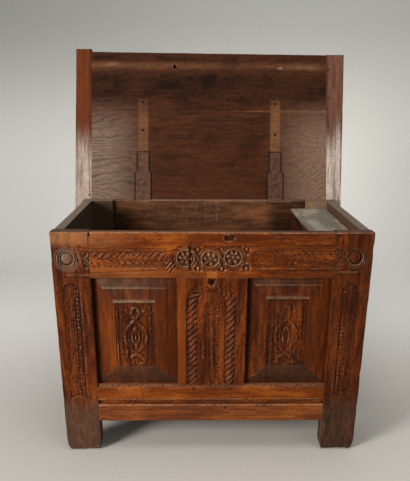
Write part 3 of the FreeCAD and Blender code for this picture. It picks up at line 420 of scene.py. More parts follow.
# The muntin: a round arch of rope twist over a tall flute and a string of beads.
ARCH_MIDDLE = -1
ARCH_HALF = 75
ARCH_FOOT = 234
ARCH_SPRING = 498
ARCH_RISE = 1.16
ROPE_REACH = 56
ROPE_HALF = 16
ROPE_PITCH = 19
ROPE_LEAN = 0.85
ROPE_RELIEF = 5.8
ROPE_WORN = (ARCH_SPRING + 28, ARCH_SPRING + 58)
CROWN_WORN = (ARCH_SPRING, ARCH_SPRING + 45)
FLUTE = ((-23, 243), (-2, 500), 9)
BEADS = ((8, 247), (24, 494), 4)
BEADS_MIDDLE = 16
MUNTIN_BEAD = dict(half=7, pitch=10.7, length=0.46)
RIDGE = 2
RIDGE_HALF = 3
KEYHOLE = (0, 562)
KEYHOLE_RADIUS = 5
KEY_SLOT = ((-3, 549), (3, 562), 1)
KEYHOLE_DEPTH = 9
TORN_KEYHOLE = ((-13, 553), (12, 573), 5)
KEYHOLE_SPLINTERS = (5, 5, 24)


def rope(along, across):
    """Slanting strands of a rope twist across a rounded band."""
    share = across / ROPE_HALF
    bend = ROPE_LEAN * across * (1.3 - 0.5 * share ** 2)
    strands = half_round((((along - bend) / ROPE_PITCH) % 1.0 - 0.5) / 0.47)
    return np.where(np.abs(share) < 1, (0.1 + 0.9 * strands) * (1 - 0.55 * share ** 2), 0)


def muntin_field(x, z, out):
    """The ground within the arch, its flute and its beads, from 0 to 1."""
    field = 0.7 * ease(0, 2, ROPE_REACH - ROPE_HALF - out) + sway(0.25, x, z, 5, 40, 21)
    field = field * (1 - 0.6 * inside(to_slab(x, z, *FLUTE), 4))
    beads = inside(to_slab(x, z, *BEADS), 2)
    bead = bead_string(x - BEADS_MIDDLE, z, **MUNTIN_BEAD) * drift(x, z, 18, 12, 28)
    return field * (1 - beads) + (0.35 + 0.4 * bead) * beads


def muntin_height(x, z):
    side = x - ARCH_MIDDLE
    over = np.maximum(z - ARCH_SPRING, 0)
    out = np.where(z > ARCH_SPRING, np.hypot(side, over * ARCH_RISE), np.abs(side))
    turn = np.arctan2(over, np.abs(side) + 1e-6)
    along = np.where(z > ARCH_SPRING, ARCH_SPRING + turn * ROPE_REACH, z) * np.sign(side)
    bed = ease(0, 5, ARCH_HALF - out) * ease(0, 3, z - ARCH_FOOT)
    twist = rope(along, out - ROPE_REACH)
    twist = twist + (0.8 - twist) * 0.7 * ease(*ROPE_WORN, z) * (twist > 0)
    ridge = half_round((x - RIDGE) / RIDGE_HALF) * between(FLUTE[0][1], FLUTE[1][1], 2, z)
    shape = highest(twist, muntin_field(x, z, out), 0.9 * ridge, 0.5 * ease(*CROWN_WORN, z))
    height = -ROPE_RELIEF * (1 - shape) * bed
    keyhole = np.minimum(distance(x, z, KEYHOLE) - KEYHOLE_RADIUS, to_slab(x, z, *KEY_SLOT))
    torn = to_slab(x, z, *TORN_KEYHOLE) + sway(6, x, z, 5, 5, 23)
    height -= (4.5 - 3 * splinters(x, z, KEYHOLE_SPLINTERS)) * inside(torn, 3)
    return height - KEYHOLE_DEPTH * inside(keyhole, 2)


# The panels: two mitred bevels up to a raised field. Margins are its left, right, upper and lower ones.
PANEL_EDGE = -15.0
PANEL_STEP = -9.5
PANEL_CROWN = -4.0
STEP_RISE = 1.0
STEP_BEAD = 1.6
FIELD_GROUND = -6.6
FIELD_FACE = -3.0
CORNICE_HALF = 5.5
CORNICE_RISE = 2.6
MITRE = 1.3
LEFT_BEVEL, RIGHT_BEVEL, HEAD_BEVEL, FOOT_BEVEL = range(4)
LEFT_PANEL = dict(low_x=LEFT_OPENING, high_x=MUNTIN_LEFT, margins=(64, 66, 72, 63),
                  step=0.46, relief=1.0, seed=71)
RIGHT_PANEL = dict(low_x=MUNTIN_RIGHT, high_x=RIGHT_OPENING, margins=(61, 67, 60, 66),
                   step=0.38, relief=0.78, seed=81)

# The interlaced strap on each field: places across its middle line and over the field's foot.
MOTIF_LIFT = 6
STRAND_HALF = 5.4
STRAND_RUN = (0, 184)
LOOP_RUN = (34, 144)
LOOP_HALF = 32
FOOT_SWING = 24
FOOT_BEND = 56
HEAD_SWING = 11
INNER_LOOP = 0.66
INNER_HALF = 2.8
INNER_RUN = (50, 128)
PILLAR_PLACE = 27
PILLAR_HALF = 2.6
PILLAR_RUN = (4, 66)
HEAD_LEAF = ((6, 150), (25, 171))
HEAD_LEAF_HALF = 4.5
FOOT_BAR = ((10, 3), (32, 3))
FOOT_BAR_HALF = 3.4
SIDE_KNOB = (35, 92)
SIDE_KNOB_REACH = (7, 10)
BORDER_PLACE = 42
BORDER_HALF = 3
BORDER_RUN = (0, 190)
HEAD_EYE = (8, 158)
HEAD_EYE_REACH = (5, 6.25)
LONG_BOSS = (0, 88)
LONG_BOSS_REACH = (13, 32)
KERNEL_REACH = (3.6, 16)
DROP = (0, 52)
DROP_RADIUS = 5


def bevel_shares(x, z, low_x, high_x, margins):
    """How far each point has climbed the left, right, upper and lower bevels, 1 at the field's edge."""
    gaps = (x - low_x, high_x - x, TOP_RAIL_EDGE - z, z - BOTTOM_RAIL_EDGE)
    return np.stack([gap / margin for gap, margin in zip(gaps, margins)])


def strand(level):
    """Sideways swing of one strand of the interlaced strap, by height over the field's foot."""
    foot, head = LOOP_RUN
    below = -FOOT_SWING * np.sin(np.pi * np.clip((foot - level) / FOOT_BEND, 0, 0.8))
    loop = LOOP_HALF * np.sin(np.pi * np.clip((level - foot) / (head - foot), 0, 1))
    above = -HEAD_SWING * np.sin(np.pi * np.clip((level - head) / (STRAND_RUN[1] - head), 0, 1))
    return below + loop + above


def half_motif(x, level, swing, slant):
    """One strand and the forms on its side of the middle, from 0 to 1."""
    inner = half_round((x - INNER_LOOP * swing) / slant / INNER_HALF)
    return highest(
        half_round((x - swing) / slant / STRAND_HALF) * between(*STRAND_RUN, 2, level),
        0.65 * inner * between(*INNER_RUN, 4, level),
        0.7 * half_round((x - PILLAR_PLACE) / PILLAR_HALF) * between(*PILLAR_RUN, 3, level),
        0.75 * half_round(to_segment(x, level, *HEAD_LEAF) / HEAD_LEAF_HALF),
        half_round(to_segment(x, level, *FOOT_BAR) / FOOT_BAR_HALF),
        0.8 * half_round(oval(x, level, SIDE_KNOB, SIDE_KNOB_REACH)),
        0.35 * half_round((x - BORDER_PLACE) / BORDER_HALF) * between(*BORDER_RUN, 2, level),
        0.8 * half_round(oval(x, level, HEAD_EYE, HEAD_EYE_REACH)))


def strap_motif(x, level):
    """The strap's two strands, its knot, its long boss and the bars at its foot, from 0 to 1."""
    swing = strand(level)
    slant = np.hypot(1, np.gradient(swing, axis=0) / np.maximum(np.gradient(level, axis=0), 1e-6))
    sides = [half_motif(side * x, level, swing, slant) for side in (1, -1)]
    shell = 0.95 * half_round((oval(x, level, LONG_BOSS, LONG_BOSS_REACH) - 0.76) / 0.26)
    kernel = 0.8 * half_round(oval(x, level, LONG_BOSS, KERNEL_REACH))
    drop = half_round(distance(x, level, DROP) / DROP_RADIUS)
    return highest(*sides, shell, kernel, drop)


def panel_height(low_x, high_x, margins, step, relief, seed):
    """A panel's bevels, its carved field and the cornice over it."""
    left, right, top, bottom = margins
    middle = (low_x + left + high_x - right) / 2
    foot = BOTTOM_RAIL_EDGE + bottom + MOTIF_LIFT
    field_top = TOP_RAIL_EDGE - top
    cornice_run = (low_x + left - 3, high_x - right + 3)

    def bevels(shares, share, nearest, second):
        """The stepped bevels, the plain one at the left, and the mitres between them."""
        outer = PANEL_EDGE + (PANEL_STEP - PANEL_EDGE) * share / step
        inner = PANEL_STEP + STEP_RISE + (PANEL_CROWN - PANEL_STEP) * (share - step) / (1 - step)
        stepped = np.where(share < step, outer, np.minimum(inner, PANEL_CROWN))
        bead = half_round((share - step) / 0.035) * (shares[HEAD_BEVEL] <= nearest)
        plain = PANEL_EDGE + (PANEL_CROWN - PANEL_EDGE) * np.minimum(share, 1)
        bevel = np.where(shares[LEFT_BEVEL] <= nearest, plain, stepped + STEP_BEAD * bead)
        return bevel + scratch((second - nearest) * top, MITRE, 0.5) * (nearest < 0.98)

    def height(x, z):
        shares = bevel_shares(x, z, low_x, high_x, margins)
        nearest, second = np.sort(shares, axis=0)[:2]
        share = np.clip(nearest, 0, 1.2)
        bevel = bevels(shares, share, nearest, second)
        bead = 0.6 * half_round((share - 1.05) / 0.05) * (shares[HEAD_BEVEL] > share + 0.01)
        shape = np.maximum(bead, strap_motif(x - middle, z - foot))
        kept = 0.55 + 0.5 * ease(0.2, 0.8, drift(x, z, 19, 19, seed))
        tooling = sway(2.0, x, z, 4.2, 4.2, seed + 1) + sway(1.4, x, z, 4, 70, seed + 2)
        carved = FIELD_GROUND + relief * ((FIELD_FACE - FIELD_GROUND) * shape * kept + tooling)
        lie = bevel + (carved - bevel) * ease(0.985, 1.0, share)
        cornice = half_round((z - field_top) / CORNICE_HALF) * between(*cornice_run, 3, x)
        lie = np.where(cornice > 0, np.maximum(lie, PANEL_CROWN + CORNICE_RISE * cornice), lie)
        return lie - 0.7 * drift(x, z, 16, 130, seed + 3) - 0.5 * drift(x, z, 6, 9, seed + 4)
    return height


# The bottom rail is run with a chamfer, a hollow, two beads and a scratched line, and has one knot.
CHAMFER_RUN = 13
CHAMFER_DEPTH = 6.5
HOLLOW_RUN = (164, 180)
HOLLOW_DEPTH = 7
RAIL_BEADS = (159, 149)
RAIL_BEAD_HALF = 5
RAIL_BEAD_DEPTH = 3.0
RAIL_LINE = 123
RAIL_KNOT = (45, 150)
RAIL_KNOT_RADIUS = 6


def bottom_rail_height(x, z):
    height = -CHAMFER_DEPTH * ease(BOTTOM_RAIL_EDGE - CHAMFER_RUN, BOTTOM_RAIL_EDGE, z)
    height -= HOLLOW_DEPTH * between(*HOLLOW_RUN, 1.5, z)
    for level in RAIL_BEADS:
        bed = between(level - RAIL_BEAD_HALF, level + RAIL_BEAD_HALF, 0.8, z)
        height -= RAIL_BEAD_DEPTH * (1 - half_round((z - level) / RAIL_BEAD_HALF)) * bed
    height += scratch(z - RAIL_LINE, 1.6, 1.2)
    return height - 3 * inside(distance(x, z, RAIL_KNOT) - RAIL_KNOT_RADIUS, 3)


def hand_worn(height, seed):
    """Uneven depth, tool marks in the hollows and small dents, as a carver and long use leave them."""
    def worn(x, z):
        carved = height(x, z)
        kept = 0.75 + 0.4 * drift(x, z, 38, 38, seed)
        tooling = sway(1.7, x, z, 4.2, 4.2, seed + 2) + sway(1.0, x, z, 9, 9, seed + 3)
        dents = 0.5 * drift(x, z, 13, 24, seed + 4) + 0.8 * ease(0.8, 0.97, drift(x, z, 8, 8, seed + 5))
        return carved * kept + tooling * ease(0, 2.5, -carved) - dents
    return worn


def plain_height(wave, seed):
    """A hand-planed face: long shallow waves across the board."""
    def height(across, along):
        return -wave * drift(across, along, 45, 260, seed)
    return height


# Boards: closed meshes with one finely worked face.
WHOLE = (None,) * 4
FRONT_SEED = 11
WEAR_SEEDS = 100
FRONT_STEP = 1.5
LID_STEP = 2.0
BACK_STEP = 2.5
PATCH_STEP = 1.0
BACK_STRIDE = 8
RIM_DROP = 2.5
BACK_ARRIS = 1.0
RAISED_REACH = 4
SHARP_ANGLE = math.radians(50)
GRAIN_SHIFT = 3000
FOOT_ROUND = 36.0
FOOT_PULL = 16.0
FOOT_FRAY = 5.0


def local_box(node, plane):
    """A CAD node's lowest and highest corners in a plane of work, in millimetres."""
    back = plane.inverted()
    points = np.array([back @ vertex.co for vertex in frame["nodes"][node].data.vertices]) / MM
    return points.min(0), points.max(0)


def grid_lines(low, high, step):
    cells = BACK_STRIDE * max(1, math.ceil((high - low) / step / BACK_STRIDE))
    return np.linspace(low, high, cells + 1)


def blur(values, reach):
    """A mean over a square window, taken twice."""
    for axis in (0, 1, 0, 1):
        padded = np.pad(values, [(reach + 1, reach) if a == axis else (0, 0) for a in (0, 1)], "edge")
        total = np.cumsum(padded, axis=axis)
        upper = np.take(total, range(2 * reach + 1, total.shape[axis]), axis=axis)
        lower = np.take(total, range(0, total.shape[axis] - 2 * reach - 1), axis=axis)
        values = (upper - lower) / (2 * reach + 1)
    return values


def softened(height, across, along, lows, highs, soft, seed):
    """Rounds the face's four edges by radii that wander with wear."""
    gaps = (across - lows[0], highs[0] - across, along - lows[1], highs[1] - along)
    for number, (gap, radius) in enumerate(zip(gaps, soft)):
        worn = np.maximum(radius * (0.5 + drift(across, along, 30, 30, seed + number)), 0.2)
        height = height - worn * (1 - half_round(np.clip((worn - gap) / worn, 0, 1)))
    return height


def ring_order(columns, rows):
    """A grid's border, anticlockwise from its first corner."""
    bottom = np.arange(columns)
    right = np.arange(1, rows) * columns + columns - 1
    top = (rows - 1) * columns + np.arange(columns - 2, -1, -1)
    left = np.arange(rows - 2, 0, -1) * columns
    return np.concatenate([bottom, right, top, left])


def grid_faces(columns, rows, first, turned):
    start = (np.arange(rows - 1)[:, None] * columns + np.arange(columns - 1)[None, :]).ravel() + first
    corners = [start, start + 1, start + columns + 1, start + columns]
    if turned:
        corners.reverse()
    return np.stack(corners, 1).tolist()


def drawn_in(lines):
    """The back's coarser grid in one direction, an arris smaller all round."""
    middle = (lines.min() + lines.max()) / 2
    half = (lines.max() - lines.min()) / 2
    coarse = lines[::BACK_STRIDE, ::BACK_STRIDE].ravel()
    return (coarse - middle) * ((half - BACK_ARRIS) / half) + middle


def board_points(across, along, lie, front, back):
    """The worked face, the rim just below it, the sides' foot and the back."""
    ring = ring_order(across.shape[1], across.shape[0])
    face = np.stack([across.ravel(), along.ravel(), front + lie.ravel()], 1)
    rim = face[ring] - (0, 0, RIM_DROP)
    sides = np.stack([rim[:, 0], rim[:, 1], np.full(len(ring), back + BACK_ARRIS)], 1)
    rear_across = drawn_in(across)
    rear = np.stack([rear_across, drawn_in(along), np.full(len(rear_across), back)], 1)
    return np.concatenate([face, rim, sides, rear])


def board_faces(rows, columns):
    """The faces that close a board over its points."""
    ring = ring_order(columns, rows)
    count = len(ring)
    rim = rows * columns
    side = rim + count
    rear = side + count
    rear_columns = (columns - 1) // BACK_STRIDE + 1
    rear_rows = (rows - 1) // BACK_STRIDE + 1
    rear_ring = ring_order(rear_columns, rear_rows)
    faces = grid_faces(columns, rows, 0, False)
    for here in range(count):
        there = (here + 1) % count
        faces.append([ring[there], ring[here], rim + here, rim + there])
        faces.append([rim + there, rim + here, side + here, side + there])
    for number, here in enumerate(range(0, count, BACK_STRIDE)):
        following = (number + 1) % len(rear_ring)
        stretch = [side + (here + step) % count for step in range(BACK_STRIDE, -1, -1)]
        faces.append(stretch + [rear + rear_ring[number], rear + rear_ring[following]])
    return faces + grid_faces(rear_columns, rear_rows, rear, True)


def foot_worn(points, lows, highs, seed):
    """Rounds the lower corners of a foot and frays its lower edge."""
    middle = (lows[0] + highs[0]) / 2
    half = (highs[0] - lows[0]) / 2
    lift = points[:, 1] - lows[1]
    share = np.clip(1 - lift / FOOT_ROUND, 0, 1)
    outer = (points[:, 0] - middle) * middle > 0
    pull = FOOT_PULL * share ** 2.5 * np.where(outer, 1.0, 0.4)
    side = np.sign(points[:, 0] - lows[0] - 1)
    pull = pull + 1.4 * ease(0.7, 0.95, drift(side, lift, 3, 30, seed + 1))
    points[:, 0] = middle + (points[:, 0] - middle) * (half - pull) / half
    points[:, 1] += FOOT_FRAY * share ** 3 * drift(points[:, 0], points[:, 2], 5, 12, seed + 2)
    return points


def add_to_scene(name, data):
    thing = bpy.data.objects.new(name, data)
    bpy.context.scene.collection.objects.link(thing)
    return thing


def add_mesh(name, points, faces, smooth):
    mesh = bpy.data.meshes.new(name)
    mesh.from_pydata(points, [], faces)
    mesh.polygons.foreach_set("use_smooth", np.full(len(faces), smooth))
    return add_to_scene(name, mesh)


def add_attribute(mesh, word, kind, field, values):
    layer = mesh.attributes.new(word, kind, "POINT")
    layer.data.foreach_set(field, np.ascontiguousarray(values, np.float32).ravel())


def make_board(name, node, plane, height, step, soft, seed, grain, face=None, clip=WHOLE, masks=None,
               reshape=None):
    """A closed board in a node's place, its worked face a grid that follows a height in millimetres."""
    low, high = local_box(node, plane)
    found = (low[0], high[0], low[1], high[1])
    left, right, foot, head = [limit if given is None else given for given, limit in zip(clip, found)]
    lows = (left, foot)
    highs = (right, head)
    front = high[2] if face is None else face
    across, along = np.meshgrid(grid_lines(left, right, step), grid_lines(foot, head, step))
    carved = height(across, along)
    lie = softened(carved, across, along, lows, highs, soft, seed)
    points = board_points(across, along, lie, front, low[2])
    if reshape is not None:
        points = reshape(points, lows, highs, seed)
    placed = (np.array(plane.to_3x3()) @ (points * MM).T).T + np.array(plane.translation)
    piece = add_mesh(name, placed.tolist(), board_faces(*across.shape), True)
    piece.data.set_sharp_from_angle(angle=SHARP_ANGLE)

    raised = carved - blur(carved, max(1, round(RAISED_REACH / step)))
    worked = {"depth": carved - carved.max(), "raised": raised, "worn_edge": carved - lie}
    plain = np.zeros(len(points) - carved.size)
    values = {word: np.concatenate([given.ravel(), plain]) for word, given in worked.items()}
    if masks is not None:
        values.update(masks(points[:, 0], points[:, 1], points[:, 2] - front))
    for word, given in values.items():
        add_attribute(piece.data, word, "FLOAT", "value", given)
    run = points[:, [1, 0, 2]] if grain == "up" else points
    offset = np.random.default_rng(seed).random(3) * GRAIN_SHIFT
    add_attribute(piece.data, "grain", "FLOAT_VECTOR", "vector", (run + offset) * MM)
    return piece


# Shader wiring.
BUMP_STRENGTH = 0.5
BUMP_DISTANCE = 0.0008


class Wiring:
    """Short ways to add and join the nodes of one tree."""

    def __init__(self, tree):
        self.tree = tree

    def feed(self, socket, value):
        if isinstance(value, bpy.types.NodeSocket):
            self.tree.links.new(value, socket)
        else:
            socket.default_value = value

    def new(self, kind, *values, **settings):
        """A node with its settings, its first sockets fed with the given values."""
        node = self.tree.nodes.new(kind)
        for word, value in settings.items():
            setattr(node, word, value)
        for socket, value in zip(node.inputs, values):
            self.feed(socket, value)
        return node

    def stretch(self, vector, scale):
        return self.new("ShaderNodeVectorMath", vector, scale, operation="MULTIPLY").outputs[0]

    def noise(self, vector, scale=1.0, detail=3.0, roughness=0.55, distortion=0.0):
        node = self.new("ShaderNodeTexNoise")
        given = {"Vector": vector, "Scale": scale, "Detail": detail,
                 "Roughness": roughness, "Distortion": distortion}
        for word, value in given.items():
            self.feed(node.inputs[word], value)
        return node.outputs[0]

    def maths(self, operation, *values, clamp=False):
        return self.new("ShaderNodeMath", *values, operation=operation, use_clamp=clamp).outputs[0]

    def times(self, first, second):
        return self.maths("MULTIPLY", first, second)

    def span(self, value, low, high, out_low=0.0, out_high=1.0):
        return self.new("ShaderNodeMapRange", value, low, high, out_low, out_high,
                        interpolation_type="SMOOTHSTEP").outputs[0]

    def blend(self, factor, first, second):
        node = self.new("ShaderNodeMix", factor, data_type="RGBA")
        self.feed(node.inputs[6], first)
        self.feed(node.inputs[7], second)
        return node.outputs[2]

    def facing(self, direction, low, high):
        """1 where a face looks along a direction, 0 where it does not."""
        normal = self.new("ShaderNodeNewGeometry").outputs["True Normal"]
        node = self.new("ShaderNodeVectorMath", normal, direction, operation="DOT_PRODUCT")
        return self.span(node.outputs["Value"], low, high)

    def attribute(self, name, output="Fac"):
        return self.new("ShaderNodeAttribute", attribute_name=name).outputs[output]

    def place(self):
        return self.new("ShaderNodeTexCoord").outputs["Object"]

    def bump(self, height):
        node = self.new("ShaderNodeBump")
        given = {"Strength": BUMP_STRENGTH, "Distance": BUMP_DISTANCE, "Height": height}
        for word, value in given.items():
            self.feed(node.inputs[word], value)
        return node.outputs["Normal"]

    def group(self, tree, **given):
        node = self.new("ShaderNodeGroup", node_tree=tree)
        for word, value in given.items():
            self.feed(node.inputs[word], value)
        return node.outputs


def new_group(name, inputs, outputs):
    tree = bpy.data.node_groups.new(name, "ShaderNodeTree")
    for word, kind in inputs:
        tree.interface.new_socket(word, in_out="INPUT", socket_type=kind)
    for word in outputs:
        tree.interface.new_socket(word, in_out="OUTPUT", socket_type="NodeSocketFloat")
    enter = tree.nodes.new("NodeGroupInput")
    leave = tree.nodes.new("NodeGroupOutput")
    return Wiring(tree), enter.outputs, leave.inputs


def oak_figure_group():
    """Streaks, fibres and pores of riven oak along the grain."""
    inputs = [("Grain", "NodeSocketVector"), ("Blotch", "NodeSocketFloat")]
    wires, given, result = new_group("oak figure", inputs, ("Tone", "Fibre", "Pore"))

    def figure(with_grain, over_grain, **settings):
        scale = (with_grain, over_grain, over_grain)
        return wires.noise(wires.stretch(given["Grain"], scale), **settings)

    broad = figure(5, 24, distortion=0.4)
    streak = figure(14, 110, detail=4.0, distortion=0.3)
    fibre = figure(40, 460, detail=4.0, roughness=0.65)
    pore = figure(80, 900, detail=2.0)
    fleck = figure(110, 260, roughness=0.65)
    broad = wires.times(wires.maths("SUBTRACT", broad, 0.5), given["Blotch"])
    tone = wires.maths("ADD", broad, wires.times(streak, 0.48))
    tone = wires.maths("ADD", tone, wires.times(fleck, 0.52))
    wires.feed(result["Tone"], wires.span(tone, 0.33, 0.67))
    wires.feed(result["Fibre"], wires.span(fibre, 0.3, 0.7))
    speckle = wires.times(wires.span(fleck, 0.52, 0.66), 0.7)
    wires.feed(result["Pore"], wires.maths("MAXIMUM", wires.span(pore, 0.58, 0.70), speckle))
    return wires.tree


def handling_group():
    """Where dirt has settled and where hands have polished, from the carving's depth, with the boards'
    grime and painted shade added to the dirt.
    """
    wires, given, result = new_group(
        "handling", [("Grain", "NodeSocketVector")], ("Dirt", "Polish", "Patch"))
    raised = wires.attribute("raised")
    mottle = wires.noise(given["Grain"], scale=70.0, detail=4.0, roughness=0.6)
    patch = wires.noise(given["Grain"], scale=9.0, detail=3.0)
    hollow = wires.times(wires.span(raised, -0.2, -1.6), wires.span(mottle, 0.25, 0.65, 0.35, 0.85))
    sunk = wires.span(wires.attribute("depth"), -2.0, -10.0, 0.0, 0.45)
    dirt = wires.maths("ADD", hollow, wires.times(sunk, mottle))
    edge = wires.span(wires.attribute("worn_edge"), 0.15, 1.6)
    rubbed = wires.maths("ADD", wires.span(raised, 0.45, 1.7), edge, clamp=True)
    wires.feed(result["Dirt"], wires.maths("ADD", dirt, wires.attribute("grime"), clamp=True))
    wires.feed(result["Polish"], wires.times(rubbed, wires.span(mottle, 0.3, 0.62)))
    wires.feed(result["Patch"], wires.span(patch, 0.35, 0.65))
    return wires.tree


OAK_FIGURE = oak_figure_group()
HANDLING = handling_group()


def new_material(name):
    material = bpy.data.materials.new(name)
    material.use_nodes = True
    return material, Wiring(material.node_tree), material.node_tree.nodes["Principled BSDF"]


def object_grain(wires, order):
    """Grain coordinates for a node that has none of its own: the axis named first runs with the grain."""
    parts = wires.new("ShaderNodeSeparateXYZ", wires.place())
    return wires.new("ShaderNodeCombineXYZ", *[parts.outputs[axis] for axis in order]).outputs[0]


def oak(name, light, mid, dark, dirt, rubbed, bleached, fresh, roughness=0.45, grain=None, dust=0.0,
        blotch=0.6, inward=None, dusty=None):
    """Old waxed oak: figure, dirt in the hollows, rubbed arrises and bleached, cleaner or dusty places,
    with the painted shade and sheen that the boards' marks carry.
    """
    material, wires, shader = new_material(name)
    run = object_grain(wires, grain) if grain else wires.attribute("grain", "Vector")
    figure = wires.group(OAK_FIGURE, Grain=run, Blotch=blotch)
    handled = wires.group(HANDLING, Grain=run)
    veil = wires.span(figure["Fibre"], 0.0, 1.0, 0.55, 1.0)
    streaky = wires.span(figure["Fibre"], 0.0, 1.0, 0.6, 1.0)
    layers = [(wires.span(figure["Tone"], 0.0, 0.55), mid),
              (wires.span(figure["Tone"], 0.5, 1.0), light),
              (wires.times(handled["Patch"], 0.6 * blotch), dark),
              (wires.attribute("warm"), light),
              (wires.attribute("fresh"), fresh),
              (wires.times(wires.attribute("bleach"), veil), bleached)]
    # Faces that look inward take another tone: painted shade on the left back post, painted light on the
    # right one, and a greyer tone on the end rails.
    if inward is not None:
        layers.append((wires.times(wires.facing(inward, 0.5, 0.7), streaky), dusty))
    settled = wires.times(wires.facing((0, 0, 1), 0.7, 0.95), dust)
    layers += [(wires.times(settled, streaky), bleached),
               (wires.times(figure["Pore"], 0.5), dirt),
               (wires.times(handled["Dirt"], 0.88), dirt),
               (wires.times(handled["Polish"], 0.5), rubbed)]
    wood = dark
    for mask, tone in layers:
        wood = wires.blend(mask, wood, tone)
    wires.feed(shader.inputs["Base Color"], wood)
    waxed = wires.span(figure["Fibre"], 0.0, 1.0, roughness - 0.06, roughness + 0.1)
    dull = wires.maths("MULTIPLY_ADD", handled["Dirt"], 0.3, waxed)
    smooth = wires.times(handled["Polish"], 0.12)
    wires.feed(shader.inputs["Roughness"], wires.maths("SUBTRACT", dull, smooth, clamp=True))
    relief = wires.maths("SUBTRACT", figure["Fibre"], figure["Pore"])
    wires.feed(shader.inputs["Normal"], wires.bump(relief))
    wires.feed(shader.inputs["Coat Weight"], wires.span(handled["Polish"], 0.0, 0.8, 0.02, 0.4))
    shader.inputs["Coat Roughness"].default_value = 0.25
    shader.inputs["Specular IOR Level"].default_value = 0.08
    return material


def colour(red, green, blue):
    """A colour by its eight-bit sRGB values."""
    return tuple((value / 255) ** 2.2 for value in (red, green, blue)) + (1.0,)


def tones(like=(), **given):
    """A wood's colours by their eight-bit sRGB values, the rest like another wood's."""
    return dict(like, **{word: colour(*values) for word, values in given.items()})


RAIL_TONES = tones(light=(156, 83, 30), mid=(118, 56, 18), dark=(86, 39, 13), dirt=(58, 34, 21),
                   rubbed=(168, 124, 86), bleached=(132, 112, 90), fresh=(164, 106, 62))
UPRIGHT_TONES = tones(light=(130, 65, 24), mid=(92, 42, 15), dark=(58, 27, 11), dirt=(42, 25, 15),
                      rubbed=(152, 116, 86), bleached=(130, 110, 90), fresh=(172, 116, 74))
# The lid's and the cleats' pale tones paint the sheen at the lid's ends and on the cleats towards the
# hinges, besides pale marks.
LID_TONES = tones(light=(84, 45, 23), mid=(70, 39, 21), dark=(54, 31, 18), dirt=(24, 17, 12),
                  rubbed=(108, 80, 58), bleached=(190, 167, 148), fresh=(122, 82, 54))
CARCASS_TONES = tones(light=(104, 64, 40), mid=(80, 50, 33), dark=(50, 32, 22), dirt=(24, 17, 12),
                      rubbed=(120, 90, 66), bleached=(142, 130, 114), fresh=(130, 84, 50))
INSIDE_TONES = tones(light=(140, 130, 112), mid=(112, 98, 82), dark=(70, 58, 48), dirt=(30, 24, 19),
                     rubbed=(150, 138, 120), bleached=(172, 165, 150), fresh=(150, 112, 80))
CLEAT_TONES = tones(LID_TONES, light=(100, 50, 23), bleached=(220, 203, 188))
BACK_TONES = tones(CARCASS_TONES, light=(130, 84, 54), mid=(106, 68, 45), dark=(74, 48, 33))
TILL_SIDE_TONES = tones(CARCASS_TONES, light=(88, 48, 34), mid=(66, 36, 26), dark=(42, 24, 18))
PATCH_TONES = tones(RAIL_TONES, mid=(160, 90, 36), light=(186, 110, 50))
END_RAIL = dict(CARCASS_TONES, grain="YZX", roughness=0.55, dust=0.6)
BACK_POST = dict(CARCASS_TONES, grain="ZXY", roughness=0.6, dust=0.5)

RAIL_OAK = oak("front rail oak", **RAIL_TONES)
UPRIGHT_OAK = oak("front upright oak", **UPRIGHT_TONES)
CLEAT_OAK = oak("cleat oak", **CLEAT_TONES, roughness=0.5, blotch=0.25)
LID_OAK = oak("lid oak", **LID_TONES, roughness=0.5, blotch=0.25)
CARCASS_UPRIGHT = oak("carcass oak, upright", **CARCASS_TONES, grain="ZXY", roughness=0.55, dust=0.5)
CARCASS_LONG = oak("carcass oak, along", **BACK_TONES, grain="XZY", roughness=0.55, dust=0.5)
CARCASS_DEEP = oak("carcass oak, front to back", **END_RAIL)
LEFT_RAIL_OAK = oak("left end rail oak", **END_RAIL, inward=(1, 0, 0), dusty=colour(76, 64, 52))
RIGHT_RAIL_OAK = oak("right end rail oak", **END_RAIL, inward=(-1, 0, 0), dusty=colour(84, 66, 50))
# The back posts' inward faces are painted: shade on the left post, light on the right one.
LEFT_POST_OAK = oak("left back post oak", **BACK_POST, inward=(0.7, -0.7, 0), dusty=colour(66, 54, 43))
RIGHT_POST_OAK = oak("right back post oak", **BACK_POST, inward=(-0.7, -0.7, 0),
                     dusty=colour(140, 112, 90))
BACK_RAIL_OAK = oak("scraped oak", **BACK_TONES, roughness=0.55, dust=0.5)
TILL_SIDE_OAK = oak("till side oak", **TILL_SIDE_TONES, grain="YXZ", roughness=0.6)
INSIDE_DEEP = oak("dusty oak", **INSIDE_TONES, grain="YXZ", roughness=0.75, dust=0.5)
TILL_LID_OAK = oak("till lid oak", **INSIDE_TONES, grain="YXZ", roughness=0.75, dust=0.35, blotch=1.5)
PEG_OAK = oak("peg oak", **UPRIGHT_TONES, grain="YXZ")
LID_PEG_OAK = oak("lid peg oak", **LID_TONES, grain="ZXY")
PATCH_OAK = oak("patch oak", **PATCH_TONES)


def iron_material():
    """Wrought iron under a brown skin of rust and wax."""
    material, wires, shader = new_material("wrought iron")
    bloom = wires.noise(wires.place(), scale=60.0, detail=5.0, roughness=0.65)
    pits = wires.noise(wires.place(), scale=420.0, detail=3.0)
    skin = wires.blend(wires.span(bloom, 0.35, 0.65), colour(92, 64, 50), colour(70, 46, 35))
    skin = wires.blend(wires.span(pits, 0.58, 0.75), skin, colour(42, 28, 22))
    wires.feed(shader.inputs["Base Color"], skin)
    wires.feed(shader.inputs["Roughness"], wires.span(bloom, 0.3, 0.7, 0.45, 0.7))
    wires.feed(shader.inputs["Normal"], wires.bump(wires.maths("SUBTRACT", bloom, pits)))
    shader.inputs["Metallic"].default_value = 0.2
    shader.inputs["Specular IOR Level"].default_value = 0.25
    return material


IRON = iron_material()


# The pieces.
def fit(piece, node, body, material):
    piece.data.materials.append(material)
    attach(piece, body)
    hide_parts(node)


